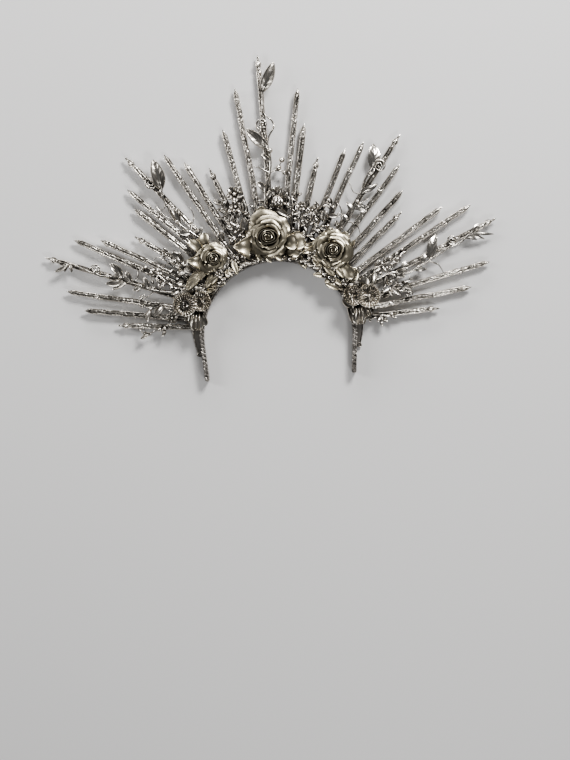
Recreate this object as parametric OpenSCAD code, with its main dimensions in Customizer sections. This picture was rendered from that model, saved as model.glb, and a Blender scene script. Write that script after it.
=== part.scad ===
// Halo crown: a headband, a base plate round it, a fan of cast rays,
// climbing vines, flowers, garlands and small sprays of leaves and buds.
// Millimetres. The crown lies on its back: +Z is its front and +Y its top.

/* [Headband] */
// Radius of the arch on the inside of the band
head_r = 74; // [72:0.5:76]
// Thickness of the band's wall, seen from the front
band_t = 4.6; // [4:0.1:5]
// Depth of the band, front to back, over the top of the head
band_top = 16; // [14:0.5:16]
// Depth of the band at its two lower ends
band_end = 12; // [10:0.5:13]
// Length of the straight legs below the arch
leg_len = 36; // [30:1:44]
// Lean of the legs towards each other, in degrees
leg_lean = 4.4; // [2:0.1:6]

/* [Base plate] */
// Thickness of the plate that carries the rays
base_t = 2.5; // [2:0.1:2.5]
// Radius of the plate's outer edge
base_r = 86; // [85:0.5:88]
// Radius of the knob that ends each horn of the plate
knob_r = 2.3; // [2:0.1:2.6]

/* [Rays] */
// Width of a ray
ray_w = 5.6; // [5:0.1:6]
// Depth of a ray, front to back
ray_d = 5; // [4:0.1:5]
// Angle between the roots of two neighbouring rays
ray_pitch = 5.75; // [5.6:0.05:5.8]
// Radius at which the rays start, on the plate
root_r = 81; // [80:0.5:84]
// Length of a ray's pointed end
point_len = 9; // [6:0.5:12]

/* [Vines and sprays] */
// Depth of a climbing vine, front to back
vine_depth = 6; // [5:0.5:8]
// Depth of a spray of leaves or buds
spray_depth = 7; // [6:0.5:9]
// Depth of a garland along the head's arch
garland_depth = 19; // [18.5:0.5:20]
// Thickness of a leaf
leaf_t = 0.9; // [0.8:0.1:1.2]

/* [Flowers] */
// Thickness of a petal
petal_t = 1.1; // [0.9:0.1:1.4]

/* [Hidden] */
// Centre of the fan in the part's frame, which puts the box round it at the middle
FAN = [2, -111.5];
// The centre of the head's arch lies this far below the fan's centre
HEAD_DROP = 7.5;
// The centre of the plate's outer edge lies this far above it
BASE_RISE = 6;
// Clearance between pieces that touch on the real crown
GAP = 0.12;
// Clearance in front of the rays, where the castings lie
CAST_GAP = 0.3;
ray_z = base_t + GAP;
front_z = ray_z + ray_d + CAST_GAP;
head_out = head_r + band_t;

VINE = "vine";
LONG = "long";
MEDIUM = "medium";
SHORT = "short";

// The fan from left to right: [kind, angle of the tip from straight up, reach of the tip]
RAYS = [
    [SHORT, -85.7, 160.7],
    [MEDIUM, -81.5, 194.8],
    [LONG, -76.8, 214.8],
    [VINE, -69.8, 243.4],
    [LONG, -63.3, 222.5],
    [MEDIUM, -60.3, 198.3],
    [SHORT, -54.1, 170.5],
    [MEDIUM, -47, 187.4],
    [LONG, -44.1, 204.8],
    [VINE, -38.5, 229.6],
    [LONG, -30, 207.9],
    [MEDIUM, -26.2, 190.6],
    [SHORT, -19.9, 173.9],
    [MEDIUM, -12.2, 206.1],
    [LONG, -6.8, 243.6],
    [VINE, -0.9, 273.3],
    [LONG, 8.1, 240.8],
    [MEDIUM, 10.7, 206],
    [SHORT, 16.5, 175.8],
    [MEDIUM, 24, 191.1],
    [LONG, 28.1, 205.3],
    [VINE, 35.6, 228.9],
    [LONG, 40.1, 204.1],
    [MEDIUM, 45.6, 186.5],
    [SHORT, 50.2, 170.1],
    [MEDIUM, 57, 203.9],
    [LONG, 60.8, 229],
    [VINE, 66.7, 243.7],
    [LONG, 76, 222.2],
    [MEDIUM, 81.4, 197.9],
    [SHORT, 86.4, 162.9],
];
RAY_COUNT = len(RAYS);
MID_RAY = (RAY_COUNT - 1) / 2;

// Rings of each kind of ray: [distance from the tip, share of the full width]
RAY_PROFILES = [
    [VINE, [[17, 1], [13, 0.62], [9.5, 1.15], [6, 0.55]]],
    [LONG, [[34, 1], [31.5, 0.66], [29, 1.12], [26, 0.86], [point_len, 0.8]]],
    [MEDIUM, [[point_len, 1]]],
    [SHORT, [[16, 1], [12.5, 0.62], [9, 1.15], [5.5, 0.55]]],
];

// A vine's rows lie in its ray's own frame: across the ray, then along it from the root.
// Wires: [first diameter, last diameter, points]. Leaves: [base, tip, width].
// Coils: [centre, radius, angle of the outer end, turns]. Buds: [centre, radius].
VINES = [
    ["vine_1", 3,
        [
            [2.6, 2.2, [[3, 26], [-1, 48], [0, 73], [2, 84], [-2, 104], [2.6, 114]]],
            [2, 1.4, [[-2, 104], [-1, 118], [1, 132], [0.9, 139]]],
        ],
        [
            [[0.9, 138], [-10.9, 148], 5],
            [[0.9, 138], [-8, 139], 4],
            [[2, 83], [12.5, 97.5], 7],
            [[0, 73], [9.5, 81], 8],
            [[0, 80], [-8.3, 96], 6],
            [[-1, 54], [9, 62], 5],
        ],
        [[[2.6, 110], 4.4, 90, 1.6]],
        [[[0, 62], 2.2]],
    ],
    ["vine_2", 9,
        [
            [2.6, 2.2, [[1, 26], [-5, 48], [-7.4, 66], [-2.7, 87], [1.4, 97], [9.4, 105],
                [7, 114], [0.9, 116.6]]],
            [1.6, 1, [[-7.4, 67], [-12, 78], [-11.7, 92]]],
            [1.6, 1, [[-5, 48], [3, 54], [8.2, 58]]],
        ],
        [
            [[1.4, 98], [18.1, 126.3], 12.6],
            [[-5, 48], [-14, 56], 6],
            [[-7.4, 66], [2, 74], 5],
        ],
        [[[0.9, 111], 5.8, 90, -1.5]],
        [[[-7.4, 66], 2.2]],
    ],
    ["vine_3", 15,
        [
            [2.8, 2.4, [[-3, 32], [-3.5, 56], [2.6, 74], [4, 92], [-1.6, 104], [-4, 112], [-2, 119]]],
            [2, 1.4, [[4, 92], [2.5, 101], [3.7, 109], [10, 125], [3, 133], [1, 146], [1.4, 157]]],
            [1.4, 1, [[2.6, 74], [-6, 79], [-13.6, 81.5]]],
            [1.6, 1.4, [[2.6, 74], [8, 76], [11.8, 78.4], [15.5, 85.8]]],
            [1.4, 1.4, [[8, 76], [13, 75], [16.8, 73.3]]],
        ],
        [
            [[1.4, 155.5], [15.3, 183], 11],
            [[2.6, 99], [-17.5, 119], 10],
            [[-3.4, 56.6], [-11, 66], 5],
        ],
        [[[-1.2, 122.6], 5.6, 235, 1.7]],
        [[[4.7, 96], 2.4], [[11.8, 78.4], 2.5], [[15.5, 85.8], 2.7], [[16.8, 73.3], 2.4]],
    ],
    ["vine_4", 21,
        [
            [2.6, 2.2, [[0, 26], [3, 46], [0.5, 64], [-0.9, 76], [-5, 92], [-4.4, 106], [-5, 108.6]]],
            [1.4, 1, [[-0.9, 76], [-8, 74], [-16.5, 79.4]]],
            [1.4, 1, [[3, 46], [13, 48], [21, 42]]],
        ],
        [
            [[-4.6, 104], [-17.2, 124], 11.6],
            [[-0.9, 77], [8.4, 94], 6.5],
            [[0.5, 64], [14, 65], 8],
            [[1.5, 56], [-8, 62], 5],
        ],
        [[[0.9, 109.6], 5.9, 185, 1.7]],
        [[[0.5, 68], 2.2]],
    ],
    ["vine_5", 27,
        [
            [2.6, 2.2, [[-2, 24], [-1, 44], [7, 60], [5.9, 83], [3.6, 108], [2.6, 114]]],
            [2, 1.4, [[3.6, 108], [4.4, 122], [0.6, 134]]],
            [1.6, 1, [[5.9, 83], [14, 90], [23, 91]]],
        ],
        [
            [[0.8, 132], [12.8, 153.5], 4.5],
            [[1.2, 130], [12.6, 143], 4.5],
            [[2.4, 126], [10, 136], 4],
            [[0.8, 132], [-4, 145], 4],
            [[5, 86], [-14.5, 103], 10],
            [[6.6, 66], [12.5, 78], 5],
            [[4, 55], [-5, 63], 5],
        ],
        [[[-1.6, 113.7], 4.4, 0, 1.6]],
        [[[6.6, 72], 2.2]],
    ],
];

// A flower's petals: [count, inner radius, lip radius, inner height, lip height,
// half angle, turn of the first petal, how far the lip rolls back]
ROSE_OPEN = [
    [5, 6, 24.6, 2.5, 11, 37, 20, 2.5],
    [5, 4.8, 18.5, 5, 16, 37, 55, 2.5],
    [3, 3.6, 12.5, 7, 20.5, 60, 10, 1],
    [2, 2, 6.6, 7.6, 23, 84, 40, 0.3],
];
ROSE_MEDIUM = [
    [5, 5.2, 20.2, 4.4, 12, 38, 8, 2],
    [4, 4.3, 14, 6.2, 16, 46, 33, 2],
    [2, 2.2, 8.1, 7.5, 19.5, 82, 75, 0.5],
];
ROSE_SMALL = [
    [4, 6, 16.8, 2.5, 10, 46, 40, 2],
    [3, 4.6, 12.2, 5, 14.5, 60, 80, 1.6],
    [2, 2, 7, 7.6, 17.5, 84, 20, 0.4],
];
PANSY = [
    [2, 3, 18.5, 2, 4, 34, 0, 1.5],
    [3, 3, 19, 2.5, 4.6, 26, 152, 1.5],
];
// A pansy's ridged cups: [sideways, up, radius, height above the underside]
PANSY_CUPS = [[9, 1.5, 11.2, 11], [-10, 2.5, 10.2, 10]];
PANSY_DEPTH = 19;
PANSY_CUP_DEPTH = 7;
// A pansy's stalk: [radius behind, radius in front, length]
PANSY_STALK = [7.6, 8.6, 12.5];
PANSY_PETAL_Z = 7;
// Cone that a rose's petals grow from: [radius behind, radius in front, length]
CALYX = [8, 2.8, 9];
// Flowers: [name, angle, radius, petals, diameter or 0 for a pansy,
// turn of a rose or 1 for a pansy mirrored left to right]
FLOWERS = [
    ["flower_1", -71.5, 87.8, PANSY, 0, 1],
    ["flower_2", -40.3, 95.8, ROSE_SMALL, 33, 100],
    ["flower_3", -2.9, 92.3, ROSE_OPEN, 48, 0],
    ["flower_4", 37.9, 94.2, ROSE_MEDIUM, 40, 0],
    ["flower_5", 74.8, 88.4, PANSY, 0, 0],
];

// Garlands run round the head's arch: [angle, radius about the arch's centre, height]
GARLANDS = [
    ["garland_left",
        [[-61, 82.4, 4], [-54, 82, 10.6], [-44, 82, 14.6], [-30, 82, 14.6], [-18, 82.2, 10], [-9, 82, 4]],
        [
            [[-52, 82, 12], [-54, 93, 13], 6],
            [[-49, 82, 14], [-54, 75, 20], 6],
            [[-46, 82, 14.6], [-47.5, 75, 19.4], 5],
            [[-41, 82, 14.6], [-44, 76, 19.6], 4],
            [[-37, 82, 14.8], [-32, 75, 19.4], 6],
            [[-30, 82, 14.6], [-27, 74.5, 20], 5],
            [[-30, 82, 14.6], [-24, 92, 15], 8],
            [[-24, 82.2, 12.6], [-22, 75.5, 20.4], 5],
        ],
        [[[-34, 82, 15], 2.6], [[-50, 82, 13.4], 2.4]],
    ],
    ["garland_right",
        [[9, 82, 4], [18, 82.2, 10], [30, 82, 14.6], [44, 82, 14.6], [54, 82, 10.6], [61, 82.4, 4]],
        [
            [[17, 82.2, 9], [20, 93, 13], 8],
            [[22, 82.2, 13], [24, 74, 21], 6],
            [[25, 82.1, 14], [19.5, 76, 20], 5],
            [[28, 82, 14], [25, 93, 13.6], 7],
            [[31, 82, 13.8], [36, 75, 18.6], 5],
            [[40, 82, 14.8], [45, 75, 19.4], 6],
            [[46, 82, 14.4], [42, 76, 20], 4],
            [[49, 82, 14], [54, 75, 20], 6],
            [[52, 82, 12], [54, 93, 13], 6],
        ],
        [[[23, 82.2, 12.8], 2.6], [[36, 81.6, 13.6], 2.2]],
    ],
];

// Sprays lie on the rays, in the fan's frame: [angle, radius] for every point.
// Wires: [first diameter, last diameter, points]. Leaves: [base, tip, width].
// Buds: [centre, radius].
SPRAYS = [
    ["spray_upper_left",
        [
            [2.4, 2, [[-24, 106], [-22, 114], [-19, 124], [-14.8, 137]]],
            [1.6, 1.4, [[-22, 114], [-15, 116], [-12, 121]]],
        ],
        [
            [[-20.5, 120], [-24.2, 129], 5],
            [[-18, 128], [-22.4, 139], 6],
            [[-22, 113], [-25.6, 118], 5],
            [[-17.6, 128], [-11.5, 128], 5],
            [[-22, 112], [-15.6, 109], 8],
            [[-14.8, 137], [-17.4, 144.4], 5],
            [[-14.8, 137], [-12, 144.4], 5],
            [[-14.8, 137], [-11.6, 133.6], 5],
        ],
        [[[-14.8, 137], 2.8], [[-12, 121], 2.6]],
    ],
    ["spray_upper_right",
        [
            [2.4, 2, [[18, 98], [19, 108], [21, 118], [20, 128]]],
            [2, 1.6, [[19, 108], [24, 111], [28.5, 119]]],
            [1.6, 1.4, [[18, 98], [14, 106], [13, 118]]],
        ],
        [
            [[20, 127], [16.8, 134], 5],
            [[21, 118], [24.6, 126], 6],
            [[20, 113], [15.4, 119], 6],
            [[28.5, 118], [31.6, 127], 6],
            [[27, 116], [31.5, 113], 6],
            [[24, 111], [25.6, 101.5], 8],
            [[19, 106], [14.2, 103], 6],
            [[13.4, 112], [9.2, 119], 5],
            [[22.4, 110], [24.6, 118], 9],
        ],
        [[[28.6, 119], 2.8], [[13, 119], 2.6]],
    ],
    ["thistle_spray",
        [
            [2.4, 2.4, [[5.6, 104], [5, 113], [3.4, 126]]],
            [2, 1.4, [[5, 112], [9, 117], [7.6, 124]]],
        ],
        [
            [[3.4, 124], [0.6, 139], 5],
            [[3.4, 124], [3, 142], 5],
            [[3.4, 124], [5.6, 139], 5],
            [[5, 112], [8.6, 108], 6],
        ],
        [[[3.2, 128], 5.4], [[7.6, 124.6], 2.2]],
    ],
    ["bud_sprig_left",
        [
            [2.2, 1.6, [[-66, 101], [-65.4, 116], [-62.6, 132], [-62.8, 150]]],
        ],
        [
            [[-66, 103], [-69, 111], 5],
            [[-65, 118], [-67.4, 126], 5],
            [[-62.7, 142], [-60.6, 148], 4],
        ],
        [
            [[-64.6, 111], 2.8],
            [[-65.6, 120], 2.6],
            [[-63, 128], 2.6],
            [[-63.2, 136], 2.6],
            [[-61.8, 143], 2.4],
            [[-62.8, 151], 2.2],
        ],
    ],
    ["bud_sprig_right",
        [
            [2.2, 1.6, [[60, 104], [60.8, 118], [62, 134], [61.6, 149]]],
        ],
        [
            [[60, 106], [56.6, 112], 5],
            [[60.8, 116], [63.8, 120], 5],
            [[62, 134], [59.4, 140], 4],
        ],
        [
            [[61.6, 112], 2.8],
            [[60.2, 121], 2.6],
            [[62.2, 127], 2.6],
            [[61.2, 134], 2.6],
            [[62.2, 142], 2.4],
            [[61.6, 150], 2.2],
        ],
    ],
    ["leaf_bunch_right",
        [
            [2.4, 1.8, [[75, 106], [75.4, 118], [74.6, 132]]],
            [1.6, 1.4, [[75.4, 118], [78.4, 128], [78.8, 135]]],
        ],
        [
            [[75.2, 112], [71.6, 123], 5],
            [[75.4, 120], [72.4, 134], 5],
            [[74.6, 130], [72.9, 142], 5],
            [[75.2, 112], [78.6, 121], 5],
            [[75, 126], [76.6, 139], 5],
            [[78.8, 133], [80.8, 139.6], 4],
            [[78.8, 133], [78, 141], 4],
        ],
        [[[75.2, 114], 2.6], [[78.8, 134], 2.4]],
    ],
    ["petal_cluster_left",
        [
            [2.4, 2, [[-53, 107], [-53.4, 120], [-53.8, 134]]],
        ],
        [
            [[-53, 110], [-48.6, 118], 8],
            [[-53, 110], [-57.4, 116], 8],
            [[-53.4, 120], [-49.6, 129], 8],
            [[-53.4, 120], [-57.2, 127], 7],
            [[-53.7, 129], [-51, 138], 6],
            [[-53.7, 129], [-56, 138], 6],
            [[-53.7, 130], [-53.8, 142], 5],
        ],
        [[[-53.2, 115], 3], [[-53.5, 125], 2.8]],
    ],
    ["leaf_pair_left",
        [
            [2.2, 1.8, [[-57.6, 97], [-59.6, 103], [-62, 103.6]]],
        ],
        [
            [[-59.6, 103], [-57.2, 112.6], 9],
            [[-62, 103], [-62.4, 114], 8],
            [[-57.6, 98], [-52.6, 101], 6],
        ],
        [[[-59.6, 102], 2.4]],
    ],
    ["twig_left",
        [
            [2.2, 1.6, [[-81.4, 100], [-81, 112], [-81.2, 124]]],
            [1.6, 1.4, [[-81.4, 102], [-86.4, 112], [-88.6, 132]]],
        ],
        [
            [[-81.2, 122], [-81.6, 136], 7],
            [[-81.2, 108], [-78, 113], 4],
            [[-81.2, 108], [-84, 111], 4],
            [[-81.2, 108], [-77.8, 106], 4],
            [[-81.2, 108], [-83.6, 104], 4],
            [[-86.6, 114], [-84, 121], 4],
            [[-88, 126], [-85.6, 133], 3.6],
        ],
        [[[-81.2, 108], 2.6], [[-88.6, 132], 1.8]],
    ],
    ["twig_right",
        [
            [2, 1.4, [[86.6, 108], [86.8, 118], [84.4, 128]]],
        ],
        [
            [[86.8, 114], [90.4, 105], 4],
            [[86.8, 116], [89.6, 123], 4],
            [[85, 125], [82.8, 133], 4],
        ],
        [[[86.8, 115], 2]],
    ],
];

// Rings that smooth each stretch between two of a wire's points
WIRE_STEPS = 2;
// Rise of a leaf's edges, as a share of its width
LEAF_CUP = 0.1;
// Rise of a vine leaf's tip, as a share of its length, and of a spray leaf's tip
VINE_LEAF_RISE = 0.22;
SPRAY_LEAF_RISE = 3;
// A leaf wider than this has a station more along its length
WIDE_LEAF = 6.2;
// Height of a wire's middle in a vine or spray, above its underside
WIRE_Z = 1.2;
// A wire thicker than this has five sides, and a thinner one four
THICK_WIRE = 2.5;
// Diameter of a coil's wire, the height of its middle above the other wires, its steps in a turn
COIL_WIRE = 1.7;
COIL_LIFT = 0.4;
COIL_STEPS = 7;
// Diameter of a garland's stem
GARLAND_STEM = 2.6;
// A petal's lip is cut back at its corners, and its sides spread, by these shares
LIP_ROUND = 0.16;
PETAL_FLARE = 0.45;
// Share of a petal's length from which its lip rolls back
ROLL_START = 0.7;
// A petal wider than this half angle has a column more across it
WIDE_PETAL = 55;
// Straight stretches that make up the head's arch
ARCH_STEPS = 60;

function ray_name(i) = str("ray_", i < 9 ? "0" : "", i + 1);
function names(table) = [for (row = table) row[0]];

function polar(r, a) = [r * sin(a), r * cos(a)];
function unit(v) = v / norm(v);
function lookup_row(table, name) = [for (row = table) if (row[0] == name) row][0];
function mix(a, b, t) = a + (b - a) * t;

// Smooth curve through all the given points
function knot(p, i) = p[max(0, min(len(p) - 1, i))];
function curve_at(a, b, c, d, t) =
    0.5 * (2 * b + (c - a) * t + (2 * a - 5 * b + 4 * c - d) * t * t
    + (3 * b - a - 3 * c + d) * t * t * t);
function curve(p, steps) = concat(
    [for (i = [0:len(p) - 2], k = [0:steps - 1])
        curve_at(knot(p, i - 1), p[i], p[i + 1], knot(p, i + 2), k / steps)],
    [p[len(p) - 1]]);

// Closed solid skinned over rings of points, each ring with the same count
module skin(rings) {
    n = len(rings[0]);
    last = len(rings) - 1;
    polyhedron(
        points = [for (ring = rings) each ring],
        faces = concat(
            [[for (j = [0:n - 1]) j]],
            [for (i = [0:last - 1], j = [0:n - 1])
                [i * n + j, (i + 1) * n + j, (i + 1) * n + (j + 1) % n, i * n + (j + 1) % n]],
            [[for (j = [n - 1:-1:0]) last * n + j]]));
}

// Round wire along a path, from one diameter to another
module wire(path, d0, d1) {
    last = len(path) - 1;
    sides = d0 > THICK_WIRE ? 5 : 4;
    skin([for (i = [0:last])
        let (
            along = unit(path[min(last, i + 1)] - path[max(0, i - 1)]),
            side = unit(cross([0, 0, 1], along)),
            up = cross(along, side),
            r = mix(d0, d1, i / last) / 2
        )
        [for (j = [0:sides - 1])
            let (a = 360 * j / sides)
            path[i] + r * (cos(a) * side + sin(a) * up)]]);
}

// Thin solid between a front and a back sheet, each a list of equal rows
module sheet(front, back) {
    rows = len(front);
    n = len(front[0]);
    skin([for (i = [0:rows - 1]) concat([for (j = [n - 1:-1:0]) front[i][j]], back[i])]);
}

// Pointed leaf from its base to its tip, with a midrib in front and its edges turned up
module leaf(base, tip, width) {
    // Stations along the leaf: [share of the length, share of the width]
    stations = width > WIDE_LEAF
        ? [[0, 0.2], [0.36, 1], [0.72, 0.7], [1, 0.06]]
        : [[0, 0.2], [0.45, 1], [1, 0.06]];
    along = tip - base;
    side = unit(cross([0, 0, 1], along));
    skin([for (s = stations)
        let (
            middle = base + along * s[0],
            reach = side * s[1] * width / 2,
            rise = [0, 0, LEAF_CUP * width * s[1]]
        )
        [
            middle + [0, 0, leaf_t * (0.4 + 0.6 * s[1])],
            middle - reach + rise,
            middle - [0, 0, leaf_t * 0.4],
            middle + reach + rise,
        ]]);
}

module bud(centre, r) {
    translate(centre) sphere(r = r, $fn = 5);
}

// Flat coil of wire that winds inward from its outer end, clockwise for positive turns
module coil(centre, r, start, turns) {
    steps = round(abs(turns) * COIL_STEPS);
    path = [for (k = [0:steps])
        let (t = k / steps, a = start - 360 * turns * t)
        centre + concat(mix(r, r * 0.25, t) * [cos(a), sin(a)], [0])];
    wire(path, COIL_WIRE, COIL_WIRE * 0.8);
}

// One casting: everything in it is fused, and it has the stated depth
module cast(depth) {
    resize([0, 0, depth]) union() children();
}

// Line of the arch at the given radius, with its two straight legs
function arch_line(r, leg) =
    let (
        bend = 90 + leg_lean,
        start = polar(r, bend),
        end = start + polar(leg, 180 + leg_lean)
    )
    concat(
        [[-end[0], end[1]]],
        [for (k = [0:ARCH_STEPS]) polar(r, mix(-bend, bend, k / ARCH_STEPS))],
        [end]);
function reverse(list) = [for (i = [len(list) - 1:-1:0]) list[i]];

module band_outline() {
    polygon(concat(arch_line(head_out, leg_len), reverse(arch_line(head_r, leg_len))));
}

// Side view of the band: deep over the head, thinner at the ends
module band_side() {
    low = -leg_len - 3 * band_t;
    high = head_out + 1;
    polygon([[low, 0], [high, 0], [high, band_top], [low, band_end]]);
}

module headband() {
    color("dimgray")
        translate([FAN[0], FAN[1] - HEAD_DROP, 0])
            intersection() {
                linear_extrude(height = band_top) band_outline();
                rotate([90, 0, 90])
                    linear_extrude(height = 4 * head_out, center = true) band_side();
            }
}

// Crescent plate behind the rays, with a small knob at each horn
module halo_base() {
    horn_y = -14;
    // The knob's edge runs along the leg's outer side
    knob_x = (head_out + GAP + knob_r + horn_y * sin(leg_lean)) / cos(leg_lean);
    color("gray")
        translate([FAN[0], FAN[1] - HEAD_DROP, 0])
            linear_extrude(height = base_t)
                difference() {
                    union() {
                        intersection() {
                            translate([0, BASE_RISE + HEAD_DROP]) circle(r = base_r);
                            translate([-2 * base_r, horn_y]) square(4 * base_r);
                        }
                        for (side = [-1, 1])
                            translate([side * knob_x, horn_y]) circle(r = knob_r);
                    }
                    polygon(arch_line(head_out + GAP, leg_len));
                }
}

function ray_root(i) = polar(root_r, (i - MID_RAY) * ray_pitch);
function ray_tip(i) = polar(RAYS[i][2], RAYS[i][1]);
function ray_len(i) = norm(ray_tip(i) - ray_root(i));
function ray_turn(i) =
    let (v = ray_tip(i) - ray_root(i))
    -atan2(v[0], v[1]);

// Moves its children to a ray's root, with +Y along the ray
module on_ray(i) {
    root = ray_root(i);
    translate([FAN[0] + root[0], FAN[1] + root[1], 0])
        rotate(ray_turn(i)) children();
}

// Six-sided bar with its knot or bud and a pointed end
module ray(i) {
    length = ray_len(i);
    profile = concat([[length, 1]], lookup_row(RAY_PROFILES, RAYS[i][0])[1], [[0, 0.06]]);
    // The hexagon's flats face front and back
    across_flats = sqrt(3) / 2;
    color("silver")
        on_ray(i)
            translate([0, 0, ray_z + ray_d / 2])
                skin([for (ring = profile)
                    [for (a = [0:60:300])
                        [
                            ray_w / 2 * ring[1] * cos(a),
                            length - ring[0],
                            -ray_d / 2 / across_flats * min(1, ring[1]) * sin(a),
                        ]]]);
}

function flat_point(p) = [p[0], p[1], WIRE_Z];
function leaf_rise(l) = [0, 0, VINE_LEAF_RISE * norm(l[1] - l[0])];

module vine(row) {
    color("silver")
        on_ray(row[1])
            translate([0, 0, front_z])
                cast(vine_depth) {
                    for (w = row[2])
                        wire(curve([for (p = w[2]) flat_point(p)], WIRE_STEPS), w[0], w[1]);
                    for (l = row[3])
                        leaf(flat_point(l[0]), flat_point(l[1]) + leaf_rise(l), l[2]);
                    for (c = row[4])
                        coil(flat_point(c[0]) + [0, 0, COIL_LIFT], c[1], c[2], c[3]);
                    for (b = row[5])
                        bud(flat_point(b[0]) + [0, 0, b[1] - WIRE_Z], b[1]);
                }
}

module spray(row) {
    function place(p) = concat(polar(p[1], p[0]), [WIRE_Z]);
    color("silver")
        translate([FAN[0], FAN[1], front_z])
            cast(spray_depth) {
                for (w = row[1])
                    wire(curve([for (p = w[2]) place(p)], WIRE_STEPS), w[0], w[1]);
                for (l = row[2])
                    leaf(place(l[0]), place(l[1]) + [0, 0, SPRAY_LEAF_RISE], l[2]);
                for (b = row[3])
                    bud(place(b[0]) + [0, 0, b[1] - WIRE_Z], b[1]);
            }
}

// Leaves and buds on a stem that lies between the band and the roots of the rays
module garland(row) {
    function place(p) = concat(polar(p[1], p[0]), [p[2] - ray_z]);
    color("silver")
        translate([FAN[0], FAN[1] - HEAD_DROP, ray_z])
            cast(garland_depth) {
                wire(curve([for (p = row[1]) place(p)], WIRE_STEPS), GARLAND_STEM, GARLAND_STEM);
                for (l = row[2])
                    leaf(place(l[0]), place(l[1]), l[2]);
                for (b = row[3])
                    bud(place(b[0]), b[1]);
            }
}

// A point of a petal: u runs across it from -1 to 1 and v from its base to its lip
function petal_point(w, turn, u, v) =
    let (
        reach = v * (1 - LIP_ROUND * u * u),
        a = turn + u * w[5] * (1 - PETAL_FLARE + PETAL_FLARE * sin(90 * v)),
        rho = mix(w[1], w[2], reach) + 0.05 * w[2] * u * v,
        roll = max(0, reach - ROLL_START) / (1 - ROLL_START),
        z = mix(w[3], w[4], sin(90 * reach)) - w[7] * roll * roll
    )
    [rho * cos(a), rho * sin(a), z];

module petal(w, turn) {
    slope = unit([w[2] - w[1], w[4] - w[3]]);
    across = w[5] > WIDE_PETAL ? [-1, -0.35, 0.35, 1] : [-1, 0, 1];
    front = [for (v = [0, 0.6, 1]) [for (u = across) petal_point(w, turn, u, v)]];
    back = [for (row = front)
        [for (p = row)
            let (out = unit([p[0], p[1]]))
            p + petal_t * [slope[1] * out[0], slope[1] * out[1], -slope[0]]]];
    sheet(front, back);
}

module petals(table) {
    for (w = table, k = [0:w[0] - 1])
        petal(w, w[6] + 360 * k / w[0]);
}

// Ten-sided cone: [radius behind, radius in front, length]
module stalk(size) {
    cylinder(r1 = size[0], r2 = size[1], h = size[2], $fn = 10);
}

// Round ridged cup, open to the front
module cup(r, depth) {
    sides = 12;
    // Rings from the underside over the rim to the inside: [share of the radius, share of the depth]
    rings = [[0.25, 0], [0.8, 0.25], [1, 1], [0.86, 1], [0.68, 0.42], [0.1, 0.2]];
    skin([for (ring = rings)
        [for (j = [0:sides - 1])
            let (a = 360 * j / sides, ridge = 1 - 0.05 * (j % 2))
            [r * ring[0] * ridge * cos(a), r * ring[0] * ridge * sin(a), depth * ring[1]]]]);
}

module on_fan(angle, radius, z) {
    p = polar(radius, angle);
    translate([FAN[0] + p[0], FAN[1] + p[1], z]) children();
}

module rose(row) {
    color("lightgray")
        on_fan(row[1], row[2], front_z)
            rotate(row[5])
                resize([row[4], 0, 0], auto = true) {
                    stalk(CALYX);
                    petals(row[3]);
                }
}

// Two ridged cups side by side over five ruffled petals
module pansy(row) {
    color("lightgray")
        on_fan(row[1], row[2], front_z)
            mirror([row[5], 0, 0]) resize([0, 0, PANSY_DEPTH]) {
                stalk(PANSY_STALK);
                translate([0, 0, PANSY_PETAL_Z]) rotate(90) petals(row[3]);
                for (c = PANSY_CUPS)
                    translate([c[0], c[1], c[3]]) cup(c[2], PANSY_CUP_DEPTH);
            }
}

module flower(row) {
    if (row[4] > 0) rose(row);
    else pansy(row);
}

headband();
halo_base();
for (i = [0:RAY_COUNT - 1])
    ray(i);
for (row = VINES)
    vine(row);
for (row = FLOWERS)
    flower(row);
for (row = GARLANDS)
    garland(row);
for (row = SPRAYS)
    spray(row);
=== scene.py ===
import math

import bmesh
import bpy
import numpy as np
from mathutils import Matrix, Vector


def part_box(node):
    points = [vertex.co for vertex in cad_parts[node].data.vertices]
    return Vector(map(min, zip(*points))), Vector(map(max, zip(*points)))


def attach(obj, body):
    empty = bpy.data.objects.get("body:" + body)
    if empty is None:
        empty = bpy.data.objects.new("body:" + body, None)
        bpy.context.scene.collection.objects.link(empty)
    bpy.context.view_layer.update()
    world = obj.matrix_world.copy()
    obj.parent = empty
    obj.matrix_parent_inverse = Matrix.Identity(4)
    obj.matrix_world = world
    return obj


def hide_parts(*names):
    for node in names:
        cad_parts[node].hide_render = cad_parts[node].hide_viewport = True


# Looks of the halo crown: cast rays, climbing vines, roses, garlands and sprays in antique silver.
# Shapes are worked out in millimetres in the part's own frame, and go into Blender in metres.

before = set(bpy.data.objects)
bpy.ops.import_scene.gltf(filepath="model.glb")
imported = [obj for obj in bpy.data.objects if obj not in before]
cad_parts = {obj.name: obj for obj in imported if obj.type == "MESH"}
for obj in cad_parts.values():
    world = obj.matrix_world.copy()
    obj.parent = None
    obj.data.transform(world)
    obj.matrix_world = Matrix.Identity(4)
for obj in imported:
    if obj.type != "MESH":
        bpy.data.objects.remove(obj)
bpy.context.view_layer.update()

MM = 0.001
UP = np.array([0.0, 0.0, 1.0])

# Pixels of the photograph: where the fan's centre lies, and where the camera's axis meets the picture
PHOTO_FAN = (278, 328)
PHOTO_AXIS = (285, 380)
# The picture's long side, whose pixels are a millimetre each in the plane of the rays
PHOTO_HEIGHT = 760
# The camera's turn about its own axis. The crown leans that far to the left in the picture.
PHOTO_TURN = math.radians(-3.4)
# The camera's distance from the plane of the rays, and the width of its sensor
CAMERA_REACH = 1800.0
SENSOR = 36.0

# The fan's centre and the centre of the head's arch
FAN = np.array([2.0, -111.5])
ARCH = FAN - [0, 7.5]
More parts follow.
